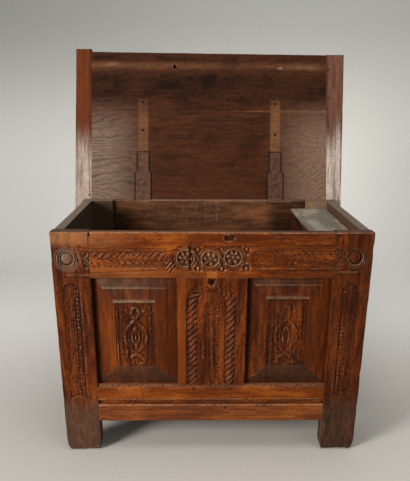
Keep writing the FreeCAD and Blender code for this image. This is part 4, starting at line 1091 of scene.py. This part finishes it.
def marks(**given):
    """A board's marks by name, with grime and painted shade, and pale marks and painted sheen, held between
    0 and 1.
    """
    return {word: np.clip(values, 0, 1) if word in ("grime", "bleach") else values
            for word, values in given.items()}


def rim_top(z, out):
    """The upper edge of a member that ends at the rim."""
    return (z > RIM - 1) * (out < -3)


# Where the front is stained, worn pale or dulled, and where shade and highlights are painted: levels go up,
# runs go across, fades are either.
DAMP_FADE = (110, 215)
ROUNDEL_LEVELS = (590, 668)
STILE_BORDERS = (((576, 586), (-414, -340)), ((586, 596), (338, 411)))
STREAK_FADE = (655, 685)
STILE_SPLIT_FADE = (650, 700)
STILE_DULL_FADE = (655, 690)
BOWL_FADE = (34, 40)
BOSS_FADE = (5, 16)
CRACK_STAIN_LEVELS = (590, 680)
RAIL_SPLIT_FADE = (640, 700)
RAIL_SHADE_FADE = (60, 300)
DUSKY_REACH = 30
UPPER_TAN_FADES = ((-340, -180), (655, 675))
LOWER_TAN_FADES = ((-300, 60), (590, 604))
FRIEZE_LEVELS = (592, 670)
GREY_MIDDLE = -10
GREY_HALF = 114
GOLD_LEVELS = (575, 600)
GOLD_FADE = (-250, 0)
PETAL_FADE = (24, 34)
PETAL_DEPTHS = (-4.8, -2.5)
BOTTOM_GREY_FADE = (150, 185)
BOTTOM_WARM_LEVELS = (186, 214)
RAIL_BLOT = (191, 686)
RAIL_BLOT_REACH = (8, 9)
TORN_RIM_EDGE = (19, 10.5)
TORN_KEYHOLE_EDGE = ((-14, 551), (13, 575), 6)
KEYHOLE_STAIN = (0, 534)
KEYHOLE_STAIN_REACH = (13, 7)
CROWN_STAIN = (-5, 497)
CROWN_STAIN_REACH = (8, 4)


def stile_masks(x, z, out):
    """Feet gone grey-brown with damp, grey carving, and painted highlight on the border strips under the
    roundels and on the left roundel.
    """
    right = x > 0
    damp = 1 - ease(*DAMP_FADE, z + sway(40, x, z, 25, 60, 31))
    foot = damp * (0.65 + 0.7 * drift(x, z, 9, 30, 36))
    scuffed = damp * ease(0.55, 0.9, drift(x, z, 8, 15, 40))
    carved = ease(1.5, 4, -out) * between(*ROUNDEL_LEVELS, 6, z)
    left_border, right_border = [between(*levels, 2, z) * between(*run, 4, x)
                                 for levels, run in STILE_BORDERS]
    border = np.where(right, right_border, left_border) * ease(0.2, 0.7, drift(x, z, 9, 6, 33))
    head = ease(*STREAK_FADE, z) * (x < 0) * (out > -3)
    streaked = head * (0.55 + 0.45 * drift(x, z, 4, 60, 34))
    top = rim_top(z, out)
    split = seam(np.abs(x) - RIGHT_OPENING, 2.5) * ease(*STILE_SPLIT_FADE, z)
    dull = np.where(right, 0.32, 0.15) * (1 - damp) * (1 - ease(*STILE_DULL_FADE, z))
    place = STILE_ROUNDELS[0]
    bowl = 1 - ease(*BOWL_FADE, distance(x, z, place))
    boss = 1 - ease(*BOSS_FADE, distance(x, z, (place[0] - 2, place[1] + 2)))
    # The left roundel's pale bowl and boss and the pale border strips are painted highlight.
    grey = np.where(right, 0.2, 0.5) * carved + 0.35 * border + 0.45 * (bowl + 0.7 * boss)
    return marks(grime=0.5 * foot + 0.25 * foot * right + 0.45 * top + 0.8 * split + dull,
                 bleach=0.46 * foot + 0.25 * scuffed + grey + 0.5 * top,
                 fresh=0.6 * streaked)


def rail_masks(x, z, out):
    """The black crack and the torn place on the top rail, grey in the middle of its carving."""
    crack = seam(x - CRACK_PLACE, 6) * between(*CRACK_STAIN_LEVELS, 8, z)
    torn = inside(9 * (oval(x, z, TORN_RIM, TORN_RIM_EDGE) - 1), 2)
    stubs = rim_splinters(x, z)
    blot = spot(x, z, RAIL_BLOT, RAIL_BLOT_REACH)
    split = seam(np.abs(x) - RIGHT_OPENING, 3.5) * ease(*RAIL_SPLIT_FADE, z)
    top = rim_top(z, out)
    dark = highest(crack, torn * (1 - 0.8 * stubs), 0.7 * blot, split, 0.4 * top)
    # Darker towards the right end: painted shade where the light falls off.
    shaded_rightward = 0.38 * ease(*RAIL_SHADE_FADE, x)
    dusky = sum(np.exp(-(distance(x, z, place) / DUSKY_REACH) ** 4) for place in ROSETTES[::2])
    upper_band = (1 - ease(*UPPER_TAN_FADES[0], x)) * ease(*UPPER_TAN_FADES[1], z)
    lower_band = (1 - ease(*LOWER_TAN_FADES[0], x)) * (1 - ease(*LOWER_TAN_FADES[1], z))
    tan = np.maximum(upper_band * (0.4 + 0.6 * drift(x, z, 26, 5, 35)),
                     0.6 * lower_band * (0.3 + 0.7 * drift(x, z, 30, 5, 38)))
    carved = ease(2, 5, -out) * between(*FRIEZE_LEVELS, 3, z)
    grey = np.where(np.abs(x - GREY_MIDDLE) < GREY_HALF, 0.24, np.where(x < 0, 0.22, 0.08))
    gold = between(*GOLD_LEVELS, 8, z + 0.05 * x) * (1 - ease(*GOLD_FADE, x))
    petals = sum(1 - ease(*PETAL_FADE, distance(x, z, place)) for place in ROSETTES)
    petals = petals * ease(*PETAL_DEPTHS, out) * (0.3 + 0.9 * drift(x, z, 6, 6, 39))
    return marks(grime=0.85 * dark + shaded_rightward + 0.34 * dusky,
                 bleach=grey * carved + 0.6 * top + 0.9 * torn * stubs + 0.42 * petals,
                 warm=0.5 * gold, fresh=0.55 * tan)


def muntin_masks(x, z, out):
    """A lit left border, the torn keyhole and the dark stain below it."""
    torn = inside(to_slab(x, z, *TORN_KEYHOLE_EDGE), 3)
    stubs = splinters(x, z, KEYHOLE_SPLINTERS)
    stain = spot(x, z, KEYHOLE_STAIN, KEYHOLE_STAIN_REACH)
    crown = spot(x, z, CROWN_STAIN, CROWN_STAIN_REACH)
    border = between(MUNTIN_LEFT + 2, MUNTIN_LEFT + 22, 5, x)
    return marks(grime=0.7 * torn * (1 - stubs) + 0.6 * stain + 0.6 * crown,
                 bleach=0.5 * torn * stubs, warm=0.45 * border)


def bottom_rail_masks(x, z, out):
    """Its top arris rubbed pale, its lower half greyer."""
    arris = seam(z - BOTTOM_RAIL_EDGE + 3, 4)
    return marks(bleach=0.45 * arris + 0.12 * (1 - ease(*BOTTOM_GREY_FADE, z)),
                 warm=0.1 * between(*BOTTOM_WARM_LEVELS, 6, z))


def panel_masks(low_x, high_x, margins, step, relief, seed):
    """Painted shadow in the left gap, painted shade on the greyed lower bevel, a grey head of dust and
    painted highlight, painted light on the side bevels; a worn panel is duller.
    """
    left, right, top, _ = margins
    cornice_run = (low_x + left - 5, high_x - right + 5)
    pale_head, warm_left = (0.75, 0.3) if low_x < 0 else (0.4, 0.0)

    def masks(x, z, out):
        shares = bevel_shares(x, z, low_x, high_x, margins)
        nearest = np.argmin(shares, axis=0)
        share = shares.min(0)
        bevel = share < 1
        rightward = (x - low_x) / (high_x - low_x)
        uneven = 0.5 + drift(x, z, 24, 16, seed + 7)
        # The grey head and cornice are dust and painted highlight, strongest at the left where the light
        # falls.
        pale = pale_head * (1 - 0.75 * ease(0.3, 0.95, rightward)) * uneven
        line = half_round((share - step) / 0.045)
        head = (nearest == HEAD_BEVEL) * bevel * (np.where(share < step, 0.5, 0.12) + line)
        reach = (z - TOP_RAIL_EDGE + top) / (CORNICE_HALF + 1)
        cornice = half_round(reach) * between(*cornice_run, 3, x)
        # The stile's shadow in the left gap and the shade on the lower bevel are painted.
        gap = 1 - ease(4, 15, x - low_x)
        lower = (nearest == FOOT_BEVEL) * bevel * ease(0, 0.15, share)
        dull = (1 - relief) * (0.64 + 0.82 * (share > 1)) * (nearest != RIGHT_BEVEL)
        # Painted light on the side bevels, strongest on the left panel's left bevel.
        lit = warm_left * (nearest == LEFT_BEVEL) + 0.2 * (nearest == RIGHT_BEVEL)
        return marks(grime=0.9 * gap + 0.48 * lower + dull,
                     bleach=pale * np.maximum(head, 0.9 * cornice) + 0.24 * lower,
                     warm=lit * bevel)
    return masks


def make_front():
    rail_ends = (LEFT_OPENING, RIGHT_OPENING, None, None)
    muntin_ends = (None, None, BOTTOM_RAIL_EDGE, TOP_RAIL_EDGE)
    panel_soft = (0.3,) * 4
    front_pieces = (
        ("front_left_stile", left_stile_height, stile_masks, "up", (3, 1, 8, 3), WHOLE),
        ("front_right_stile", right_stile_height, stile_masks, "up", (1, 3, 8, 3), WHOLE),
        ("front_top_rail", top_rail_height, rail_masks, "across", (0.8, 0.8, 1.5, 3.5), rail_ends),
        ("front_bottom_rail", bottom_rail_height, bottom_rail_masks, "across", (0.8, 0.8, 2.5, 1),
         rail_ends),
        ("front_muntin", muntin_height, muntin_masks, "up", (1.5, 1.5, 0.8, 0.8), muntin_ends),
        ("front_left_panel", panel_height(**LEFT_PANEL), panel_masks(**LEFT_PANEL), "up",
         panel_soft, WHOLE),
        ("front_right_panel", panel_height(**RIGHT_PANEL), panel_masks(**RIGHT_PANEL), "up",
         panel_soft, WHOLE),
    )
    for seed, (node, height, masks, grain, soft, clip) in enumerate(front_pieces, FRONT_SEED):
        if not node.endswith("panel"):
            height = hand_worn(height, WEAR_SEEDS * seed)
        piece = make_board("carved_" + node, node, FRONT, height, FRONT_STEP, soft, seed, grain, 0.0, clip,
                           masks, foot_worn if node.endswith("stile") else None)
        fit(piece, node, "carcass", RAIL_OAK if grain == "across" else UPRIGHT_OAK)


def face_height(x, z):
    """The carved face's height at one place on the front's frame."""
    height = muntin_height
    if x < LEFT_OPENING:
        height = left_stile_height
    elif x > RIGHT_OPENING:
        height = right_stile_height
    elif z > TOP_RAIL_EDGE:
        height = top_rail_height
    elif z < BOTTOM_RAIL_EDGE:
        height = bottom_rail_height
    return height(np.array([[float(x)]]), np.array([[float(z)]]))[0, 0]


# Pegs, eight-sided and nipped at both ends, and the let-in lock patch.
PEG_PROUD = 0.5
LID_PEG_SUNK = 0.2
PEG_SIDES = 8
PEG_NIP = 0.86
PEG_CHAMFER = 0.6
PEG_SPACING = 20
PATCH_PROUD = 0.6
PATCH_SEED = 91


def islands(node, plane):
    """The separate solids of a node, each as its vertices in millimetres on a plane of work."""
    back = plane.inverted()
    solids = {}
    for vertex in frame["nodes"][node].data.vertices:
        point = back @ vertex.co / MM
        near = (place for place in solids
                if abs(place[0] - point.x) < PEG_SPACING and abs(place[1] - point.y) < PEG_SPACING)
        solids.setdefault(next(near, (point.x, point.y)), []).append(point)
    return [np.array(points) for points in solids.values()]


def peg_faces(first, rings):
    """The sides and the two ends of one peg, whose points start at a given number."""
    faces = []
    for ring in range(rings - 1):
        for side in range(PEG_SIDES):
            here = first + ring * PEG_SIDES + side
            there = first + ring * PEG_SIDES + (side + 1) % PEG_SIDES
            faces.append((here, there, there + PEG_SIDES, here + PEG_SIDES))
    last = first + (rings - 1) * PEG_SIDES
    faces.append([first + side for side in reversed(range(PEG_SIDES))])
    faces.append([last + side for side in range(PEG_SIDES)])
    return faces


def make_pegs(name, node, plane, surface, proud, body, material):
    """Riven pegs, cut off near the faces that they come through."""
    points = []
    faces = []
    for solid in islands(node, plane):
        low = solid.min(0)
        high = solid.max(0)
        middle = (low + high) / 2
        radius = (high[0] - low[0]) / 2
        top = surface(middle[0], middle[1]) + proud
        foot = low[2] - PEG_PROUD
        rings = ((foot, PEG_NIP), (foot + PEG_CHAMFER, 1.0), (top - PEG_CHAMFER, 1.0), (top, PEG_NIP))
        faces += peg_faces(len(points), len(rings))
        for level, reach in rings:
            for side in range(PEG_SIDES):
                turn = math.tau * (side + 0.5) / PEG_SIDES
                corner = Vector((middle[0] + radius * reach * math.cos(turn),
                                 middle[1] + radius * reach * math.sin(turn), level))
                points.append(plane @ (corner * MM))
    fit(add_mesh(name, points, faces, False), node, body, material)


def make_lock_patch():
    height = plain_height(0.4, PATCH_SEED)
    piece = make_board("lock_patch_block", "lock_patch", FRONT, height, PATCH_STEP, (1, 1, 1, 1),
                       PATCH_SEED, "across", PATCH_PROUD)
    fit(piece, "lock_patch", "carcass", PATCH_OAK)


# The lid's underside: where it meets the chest's front, where straps are and were, small damage, and a
# painted sheen at both ends.
LID_SEED = 61
LID_WAVE = 0.6
CLEAT_WAVE = 0.8
RIM_PRINT = (hinge("lid_hinge")["pos_m"][1] - FACE_Y) / MM
PRINT_RUN = (RIM_PRINT - 25, RIM_PRINT - 3)
OUTER_FADE = (RIM_PRINT - 2, RIM_PRINT + 6)
STRAP_PLACES = [sum(local_box(node, LID)[end][0] for end in (0, 1)) / 2
                for node in ("left_lid_strap", "right_lid_strap")]
STRAP_HALVES = ((27, 0, 98), (19.5, 98, 173))
LOST_STRAP_HALF = 18
LOST_STRAP_RUN = (165, 364)
LOST_STRAP_FADE = (300, 360)
BOARD_JOINT = local_box("lid_front_board", LID)[0][1]
CLEAT_LEFT = local_box("lid_left_cleat", LID)[1][0]
CLEAT_RIGHT = local_box("lid_right_cleat", LID)[0][0]
EDGE_START = RIM_PRINT - 30
EDGE_END = local_box("lid_front_board", LID)[1][1]
EDGE_SKEW = (9.0, 2.0)
LID_LEFT = local_box("lid_left_cleat", LID)[0][0]
LID_RIGHT = local_box("lid_right_cleat", LID)[1][0]
LEFT_SPREAD = (3.0, -1.5)
RIGHT_SPREAD = (-3.0, 7.0)
LOST_NAILS = ((-240, 355), (-240, 253), (240, 350), (240, 239))
NAIL_RADIUS = 4.5
NAIL_PIT = 5
LID_HOLE = (-124, 483)
HOLE_RADIUS = 7
LID_CHIP = (257, 481)
CHIP_REACH = (8, 5)
RING_PITCH = 17
PRINT_SPOTS = ((-362, 490), (-340, 494), (326, 482), (368, 480))
PRINT_SPOT_REACH = (15, 6)
SMOKE_RUN = (350, 455)
SMOKE_FADE = (180, 300)
SHEEN_ENDS = (190, 400)
SHEEN_FADE = (200, 400)
STRAPS_FADE = (170, 260)
GLOW_FADE = (20, 120)
GLOW_RUN = (-170, 180)
OPEN_JOINT = (120, 170)
CLEAT_FADE = (150, 300)
CORNER_SMOKE = (-390, 516)
CORNER_SMOKE_REACH = (50, 9)


def lid_face(across, along):
    return local_box("lid_left_cleat", LID)[1][2]


def lid_height(seed):
    """A planed underside with nail pits, a bored hole and a chip."""
    waves = plain_height(LID_WAVE, seed)

    def height(across, along):
        lie = waves(across, along) - 0.5 * drift(across, along, 60, 7, seed + 5)
        for place in LOST_NAILS:
            lie = lie - 5 * inside(distance(across, along, place) - NAIL_RADIUS, 2)
        hole = distance(across, along, LID_HOLE) - HOLE_RADIUS
        lie = lie - 8 * inside(hole + sway(5, across, along, 6, 6, seed + 7), 2)
        chip = oval(across, along, LID_CHIP, CHIP_REACH) - 1
        return lie - 2 * inside(6 * chip + sway(3, across, along, 4, 4, seed + 6), 3)
    return height


def cleat_height(seed):
    return plain_height(CLEAT_WAVE, seed)


def lost_straps(across, along):
    """Paler wood where longer straps lay, fading out towards the free edge."""
    lost = highest(*[between(middle - LOST_STRAP_HALF, middle + LOST_STRAP_HALF, 3, across)
                     for middle in STRAP_PLACES]) * between(*LOST_STRAP_RUN, 5, along)
    return lost * (1 - 0.6 * ease(*LOST_STRAP_FADE, along + sway(40, across, along, 14, 30, 60)))


def strap_outlines(across, along):
    """Painted shade along the straps' edges."""
    gaps = [to_slab(across, along, (middle - half, low), (middle + half, high), 2)
            for middle in STRAP_PLACES for half, low, high in STRAP_HALVES]
    return highest(*[1 - ease(2, 7, gap) for gap in gaps])


def lid_smoke(across, along):
    """Smoke on the hinge side of the rim's print, and in the left corner of the free edge."""
    clouds = 0.62 + 0.38 * ease(0.2, 0.7, drift(across, along, 210, 80, 41))
    wisps = 0.45 + 0.75 * drift(across, along, 55, 26, 58)
    smoke = clouds * wisps * between(*SMOKE_RUN, 34, along) * (1 - 0.3 * ease(*SMOKE_FADE, across))
    return np.maximum(smoke, 0.7 * spot(across, along, CORNER_SMOKE, CORNER_SMOKE_REACH))


def lid_pits(across, along):
    """Dark nail pits and the hole."""
    pits = [(place, NAIL_PIT) for place in LOST_NAILS] + [(LID_HOLE, HOLE_RADIUS)]
    return highest(*[1 - ease(reach - 2, reach + 1, distance(across, along, place))
                     for place, reach in pits])


def growth_rings(across, along):
    """Wavy growth rings of a flat-cut board."""
    run = along + 90 * drift(across, along, 150, 75, 43) + 10 * drift(across, along, 30, 15, 44)
    return ease(0.1, 0.9, np.sin(math.tau * run / RING_PITCH)) * (0.35 + drift(across, along, 70, 30, 46))


def rim_print(across, along):
    """The pale ragged strip that the chest's front rim has left."""
    ragged = sway(7, across, along, 45, 12, 42)
    return between(*PRINT_RUN, 8, along + ragged) * (0.45 + 0.55 * drift(across, along, 90, 60, 45))


def lid_board_masks(across, along, out):
    """Marks on the lid's underside: the rim's print, lost straps and smoke, with painted shade along the
    straps and a painted sheen at both ends.
    """
    under = ease(-6, -2, out)
    right = across > 0
    # A painted sheen at both ends, towards the hinges.
    ends = ease(*SHEEN_ENDS, np.abs(across)) * (1 - ease(*SHEEN_FADE, along))
    between_straps = 1 - ease(*STRAPS_FADE, np.abs(across))
    outer_strip = ease(*OUTER_FADE, along)
    lost = lost_straps(across, along)
    spots = sum(spot(across, along, place, PRINT_SPOT_REACH) for place in PRINT_SPOTS)
    spots = spots * (0.4 + 0.8 * drift(across, along, 6, 5, 47))
    glow = (1 - ease(*GLOW_FADE, along)) * between(*GLOW_RUN, 60, across)
    glow = glow * (0.4 + 0.6 * drift(across, along, 60, 12, 48))
    glow = np.maximum(glow, 0.6 * between_straps * ease(0.55, 0.9, drift(across, along, 85, 13, 53)))
    chip = 1 - ease(0.6, 1.1, oval(across, along, LID_CHIP, CHIP_REACH))
    joint = (1 - ease(2, 5, np.abs(along - BOARD_JOINT))) * ease(*OPEN_JOINT, across)
    rings = growth_rings(across, along) * (0.12 + 0.88 * ends * (across < 0) + 0.4 * ends * right)
    smudge = between_straps * ease(0.5, 0.85, drift(across, along, 75, 32, 49))
    smudge = smudge + 0.7 * ease(0.45, 0.9, drift(across, along, 17, 8, 59)) * (1 - ends)
    specks = ease(0.93, 1.0, drift(across, along, 5, 4, 54))
    specks = specks * ease(0.4, 0.7, drift(across, along, 90, 60, 55))
    dark = 0.9 * lid_smoke(across, along) * (1 - lost) + 0.35 * smudge + 0.5 * rings + 0.3 * outer_strip
    dark = dark + strap_outlines(across, along) + lid_pits(across, along)
    fresh = highest((0.62 + 0.2 * right) * lost, 0.46 * rim_print(across, along), 0.6 * joint,
                    0.4 * ends * right)
    pale = (0.34 - 0.05 * right) * ends * (1 - lost) + 0.6 * chip + 0.16 * spots + 0.16 * specks
    return marks(grime=under * dark, fresh=under * fresh, bleach=under * pale,
                 warm=under * np.maximum(0.6 * glow, 0.3 * outer_strip))


def cleat_masks(across, along, out):
    """Cleats with a painted sheen towards the hinges, the left one redder and the right one paler above."""
    right = across > 0
    low = 1 - ease(*CLEAT_FADE, along + sway(70, across, along, 9, 120, 51))
    streaks = drift(across, along, 5, 90, 52)
    fine = drift(across, along, 2.6, 42, 57)
    inner = np.minimum(np.abs(across - CLEAT_LEFT), np.abs(across - CLEAT_RIGHT))
    dark = (1 - ease(2, 12, inner + 8 * (streaks - 0.5))) * (1 - low)
    # Painted sheen on the cleats towards the hinges.
    pale = np.where(right, 1.0, 0.7) * low * (0.1 + 0.95 * streaks + 0.3 * fine)
    return marks(bleach=pale + np.where(right, 0.04 + 0.1 * streaks, 0.0),
                 warm=np.where(right, 0.7, 1.0) * (1 - low) * (0.5 + streaks),
                 grime=0.45 * dark + 0.2 * ease(0.6, 0.9, streaks)
                 + 0.25 * ease(0.6, 0.9, fine) * (1 - low))


def out_of_square(points, lows, highs, seed):
    """The lid's free edge runs out of square, further out at the left, and its cleats spread."""
    rise = points[:, 1] / EDGE_END
    beyond = np.maximum(CLEAT_LEFT - points[:, 0], 0) / (CLEAT_LEFT - LID_LEFT)
    points[:, 0] -= beyond * (LEFT_SPREAD[0] + (LEFT_SPREAD[1] - LEFT_SPREAD[0]) * rise)
    beyond = np.maximum(points[:, 0] - CLEAT_RIGHT, 0) / (LID_RIGHT - CLEAT_RIGHT)
    points[:, 0] += beyond * (RIGHT_SPREAD[0] + (RIGHT_SPREAD[1] - RIGHT_SPREAD[0]) * rise)
    share = np.clip((points[:, 1] - EDGE_START) / (EDGE_END - EDGE_START), 0, 1)
    leftward = np.clip(0.5 - points[:, 0] / (CLEAT_RIGHT - CLEAT_LEFT), 0, 1)
    points[:, 1] += share * (EDGE_SKEW[1] + (EDGE_SKEW[0] - EDGE_SKEW[1]) * leftward)
    return points


def make_lid():
    shoulders = (CLEAT_LEFT, CLEAT_RIGHT, None, None)
    boards = (("lid_front_board", lid_height, lid_board_masks, "across", (0.5, 0.5, 1, 3), shoulders),
              ("lid_back_board", lid_height, lid_board_masks, "across", (0.5, 0.5, 2, 1), shoulders),
              ("lid_left_cleat", cleat_height, cleat_masks, "up", (2, 0.8, 2, 3), WHOLE),
              ("lid_right_cleat", cleat_height, cleat_masks, "up", (0.8, 2, 2, 3), WHOLE))
    for seed, (node, height, masks, grain, soft, clip) in enumerate(boards, LID_SEED):
        piece = make_board("planed_" + node, node, LID, height(seed), LID_STEP, soft, seed, grain, None,
                           clip, masks, out_of_square)
        fit(piece, node, "lid", CLEAT_OAK if node.endswith("cleat") else LID_OAK)


# The back rail's inner face, and the notches in which the lid's straps lie when it is shut.
BACK_SCRATCHES = tuple(((place, top), (place + 2, foot)) for place, top, foot in (
    (-48, 695, 640), (-16, 700, 655), (24, 704, 630), (31, 700, 668), (-96, 690, 662)))
BACK_SEED = 93
LEFT_DIRT_FADE = (-330, -190)
RIGHT_DIRT_FADE = (190, 250)
UPPER_DIRT_FADE = (620, 690)
SPECK_RUN = (-150, 90)
NOTCH_HALF = 30.0
NOTCH_DEPTH = 2.9
NOTCH_RUN = 15.0
NOTCH_FLARE = 20.0


def back_rail_height(across, along):
    """Scraped flat, with a few scratches down it."""
    height = -0.8 * drift(across, along, 150, 30, 95)
    return scored(height, across, along, [(*line, 1.6, 0.9) for line in BACK_SCRATCHES])


def back_rail_masks(across, along, out):
    """Greyer and darker at both ends of the inner face, pale scratches and specks between them."""
    ends = np.maximum(1 - ease(*LEFT_DIRT_FADE, across), ease(*RIGHT_DIRT_FADE, across))
    lower = 0.6 + 0.4 * (1 - ease(*UPPER_DIRT_FADE, along))
    pale = highest(*[half_round(to_segment(across, along, *line) / 2) for line in BACK_SCRATCHES])
    specks = ease(0.75, 0.9, drift(across, along, 7, 7, 96)) * between(*SPECK_RUN, 40, across)
    return marks(grime=np.maximum(0.85 * ends * lower, seam(across - LEFT_OPENING - 3, 5)),
                 bleach=0.3 * pale + 0.2 * specks)


def strap_notches(points, lows, highs, seed):
    """Notches across the rail's top where the lid's straps lie when it is shut."""
    drop = NOTCH_DEPTH * np.clip(1 - (highs[1] - points[:, 1]) / NOTCH_RUN, 0, 1)
    rearmost = points[:, 2] < points[:, 2].min() + 0.5
    for place in STRAP_PLACES:
        near = np.abs(points[:, 0] - place) < NOTCH_HALF + NOTCH_FLARE * rearmost
        points[:, 1] -= drop * near
    return points


def make_back_rail():
    shoulders = (LEFT_OPENING, RIGHT_OPENING, None, None)
    piece = make_board("scraped_back_top_rail", "back_top_rail", FRONT, back_rail_height, BACK_STEP,
                       (0.5, 0.5, 0.5, 2.5), BACK_SEED, "across", None, shoulders, back_rail_masks,
                       strap_notches)
    fit(piece, "back_top_rail", "carcass", BACK_RAIL_OAK)


def finish_cad_nodes():
    """Nodes whose shape is right keep it and take their own finish."""
    finishes = {
        RIGHT_POST_OAK: ("back_right_stile",),
        TILL_SIDE_OAK: ("till_side",),
        LEFT_POST_OAK: ("back_left_stile",),
        LEFT_RAIL_OAK: ("left_top_rail",),
        RIGHT_RAIL_OAK: ("right_top_rail",),
        CARCASS_UPRIGHT: ("back_muntin", "back_left_panel", "back_right_panel", "left_panel",
                          "right_panel"),
        CARCASS_LONG: ("back_bottom_rail", "back_pegs", "left_pegs", "right_pegs"),
        CARCASS_DEEP: ("left_bottom_rail", "right_bottom_rail"),
        INSIDE_DEEP: ("floor_board_left", "floor_board_mid_left", "floor_board_mid_right",
                      "floor_board_right", "till_bottom"),
        TILL_LID_OAK: ("till_lid",),
        IRON: ("left_back_strap", "right_back_strap", "hinge_pins", "back_strap_nails",
               "left_lid_strap", "right_lid_strap", "lid_strap_nails"),
    }
    for material, nodes in finishes.items():
        for node in nodes:
            for place in frame["nodes"][node].material_slots:
                place.material = material


# The studio, in metres.
SWEEP_FRONT = -6.0
SWEEP_WALL = 2.6
SWEEP_RADIUS = 1.2
SWEEP_STEPS = 16
SWEEP_HEIGHT = 6.0
SWEEP_HALF_WIDTH = 7.0


def studio_material():
    """Grey paper with light and shade painted on: lighter to the right and where it sweeps up behind the
    chest, darker high on the wall.
    """
    material, wires, shader = new_material("grey paper")
    parts = wires.new("ShaderNodeSeparateXYZ", wires.place())
    # Painted light: floor, sweep and the wall above all grow lighter to the right.
    rightward = wires.span(parts.outputs["X"], -1.8, 1.8)
    floor = wires.blend(rightward, colour(160, 158, 155), colour(209, 203, 193))
    sweep = wires.blend(rightward, colour(206, 205, 201), colour(255, 253, 246))
    upper = wires.blend(rightward, colour(147, 148, 145), colour(190, 190, 186))
    paper = wires.blend(wires.span(parts.outputs["Y"], -0.2, 0.8), floor, sweep)
    paper = wires.blend(wires.span(parts.outputs["Z"], 0.5, 1.7), paper, upper)
    grain = wires.times(wires.noise(wires.place(), scale=300.0), 0.04)
    wires.feed(shader.inputs["Base Color"], wires.blend(grain, paper, colour(160, 158, 154)))
    shader.inputs["Roughness"].default_value = 0.9
    shader.inputs["Specular IOR Level"].default_value = 0.1
    return material


def make_studio():
    """A paper sweep: floor, a wide curve and a wall."""
    profile = [(SWEEP_FRONT, 0.0)]
    for step in range(SWEEP_STEPS + 1):
        turn = math.pi / 2 * step / SWEEP_STEPS
        profile.append((SWEEP_WALL - SWEEP_RADIUS + SWEEP_RADIUS * math.sin(turn),
                        SWEEP_RADIUS - SWEEP_RADIUS * math.cos(turn)))
    profile.append((SWEEP_WALL, SWEEP_HEIGHT))
    points = [(side * SWEEP_HALF_WIDTH, y, z) for y, z in profile for side in (-1, 1)]
    faces = [(2 * n, 2 * n + 1, 2 * n + 3, 2 * n + 2) for n in range(len(profile) - 1)]
    sweep = add_mesh("paper_sweep", points, faces, True)
    sweep.data.materials.append(studio_material())


def soft_light(name, place, aim, size, power, tint):
    light = bpy.data.lights.new(name, "AREA")
    light.shape = "DISK"
    light.size = size
    light.energy = power
    light.color = tint
    lamp = add_to_scene(name, light)
    lamp.location = place
    lamp.rotation_euler = (Vector(aim) - Vector(place)).to_track_quat("-Z", "Y").to_euler()


def make_lights():
    soft_light("left soft light", (-2.7, -2.25, 1.45), (0, 0, 0.45), 1.2, 150, (1.0, 0.97, 0.93))
    soft_light("right soft light", (2.4, -2.6, 2.0), (0, 0, 0.5), 1.8, 14, (1.0, 0.98, 0.96))
    soft_light("top soft light", (0.2, -0.4, 3.6), (0, 0, 0.4), 2.6, 60, (1.0, 0.99, 0.97))
    world = bpy.data.worlds.new("studio")
    world.use_nodes = True
    backdrop = world.node_tree.nodes["Background"]
    backdrop.inputs["Color"].default_value = (0.95, 0.97, 1.0, 1.0)
    backdrop.inputs["Strength"].default_value = 0.18
    bpy.context.scene.world = world


def make_camera():
    ahead = Vector((math.sin(CAMERA_YAW) * math.cos(CAMERA_PITCH),
                    math.cos(CAMERA_YAW) * math.cos(CAMERA_PITCH), -math.sin(CAMERA_PITCH)))
    level = Vector((math.cos(CAMERA_YAW), -math.sin(CAMERA_YAW), 0))
    down = ahead.cross(level)
    right = math.cos(CAMERA_ROLL) * level + math.sin(CAMERA_ROLL) * down
    up = math.sin(CAMERA_ROLL) * level - math.cos(CAMERA_ROLL) * down
    lens = bpy.data.cameras.new("camera")
    lens.lens = CAMERA_LENS
    lens.shift_y = CAMERA_SHIFT
    camera = add_to_scene("camera", lens)
    turn = Matrix((right, up, -ahead)).transposed()
    camera.matrix_world = Matrix.Translation(CAMERA_PLACE) @ turn.to_4x4()
    bpy.context.scene.camera = camera


make_camera()
make_studio()
make_lights()
make_front()
make_pegs("front_peg_heads", "front_pegs", FRONT, face_height, PEG_PROUD,
          "carcass", PEG_OAK)
make_pegs("lid_peg_heads", "lid_pegs", LID, lid_face, -LID_PEG_SUNK, "lid", LID_PEG_OAK)
make_lock_patch()
make_lid()
make_back_rail()
finish_cad_nodes()
bpy.context.scene.view_settings.view_transform = "Standard"
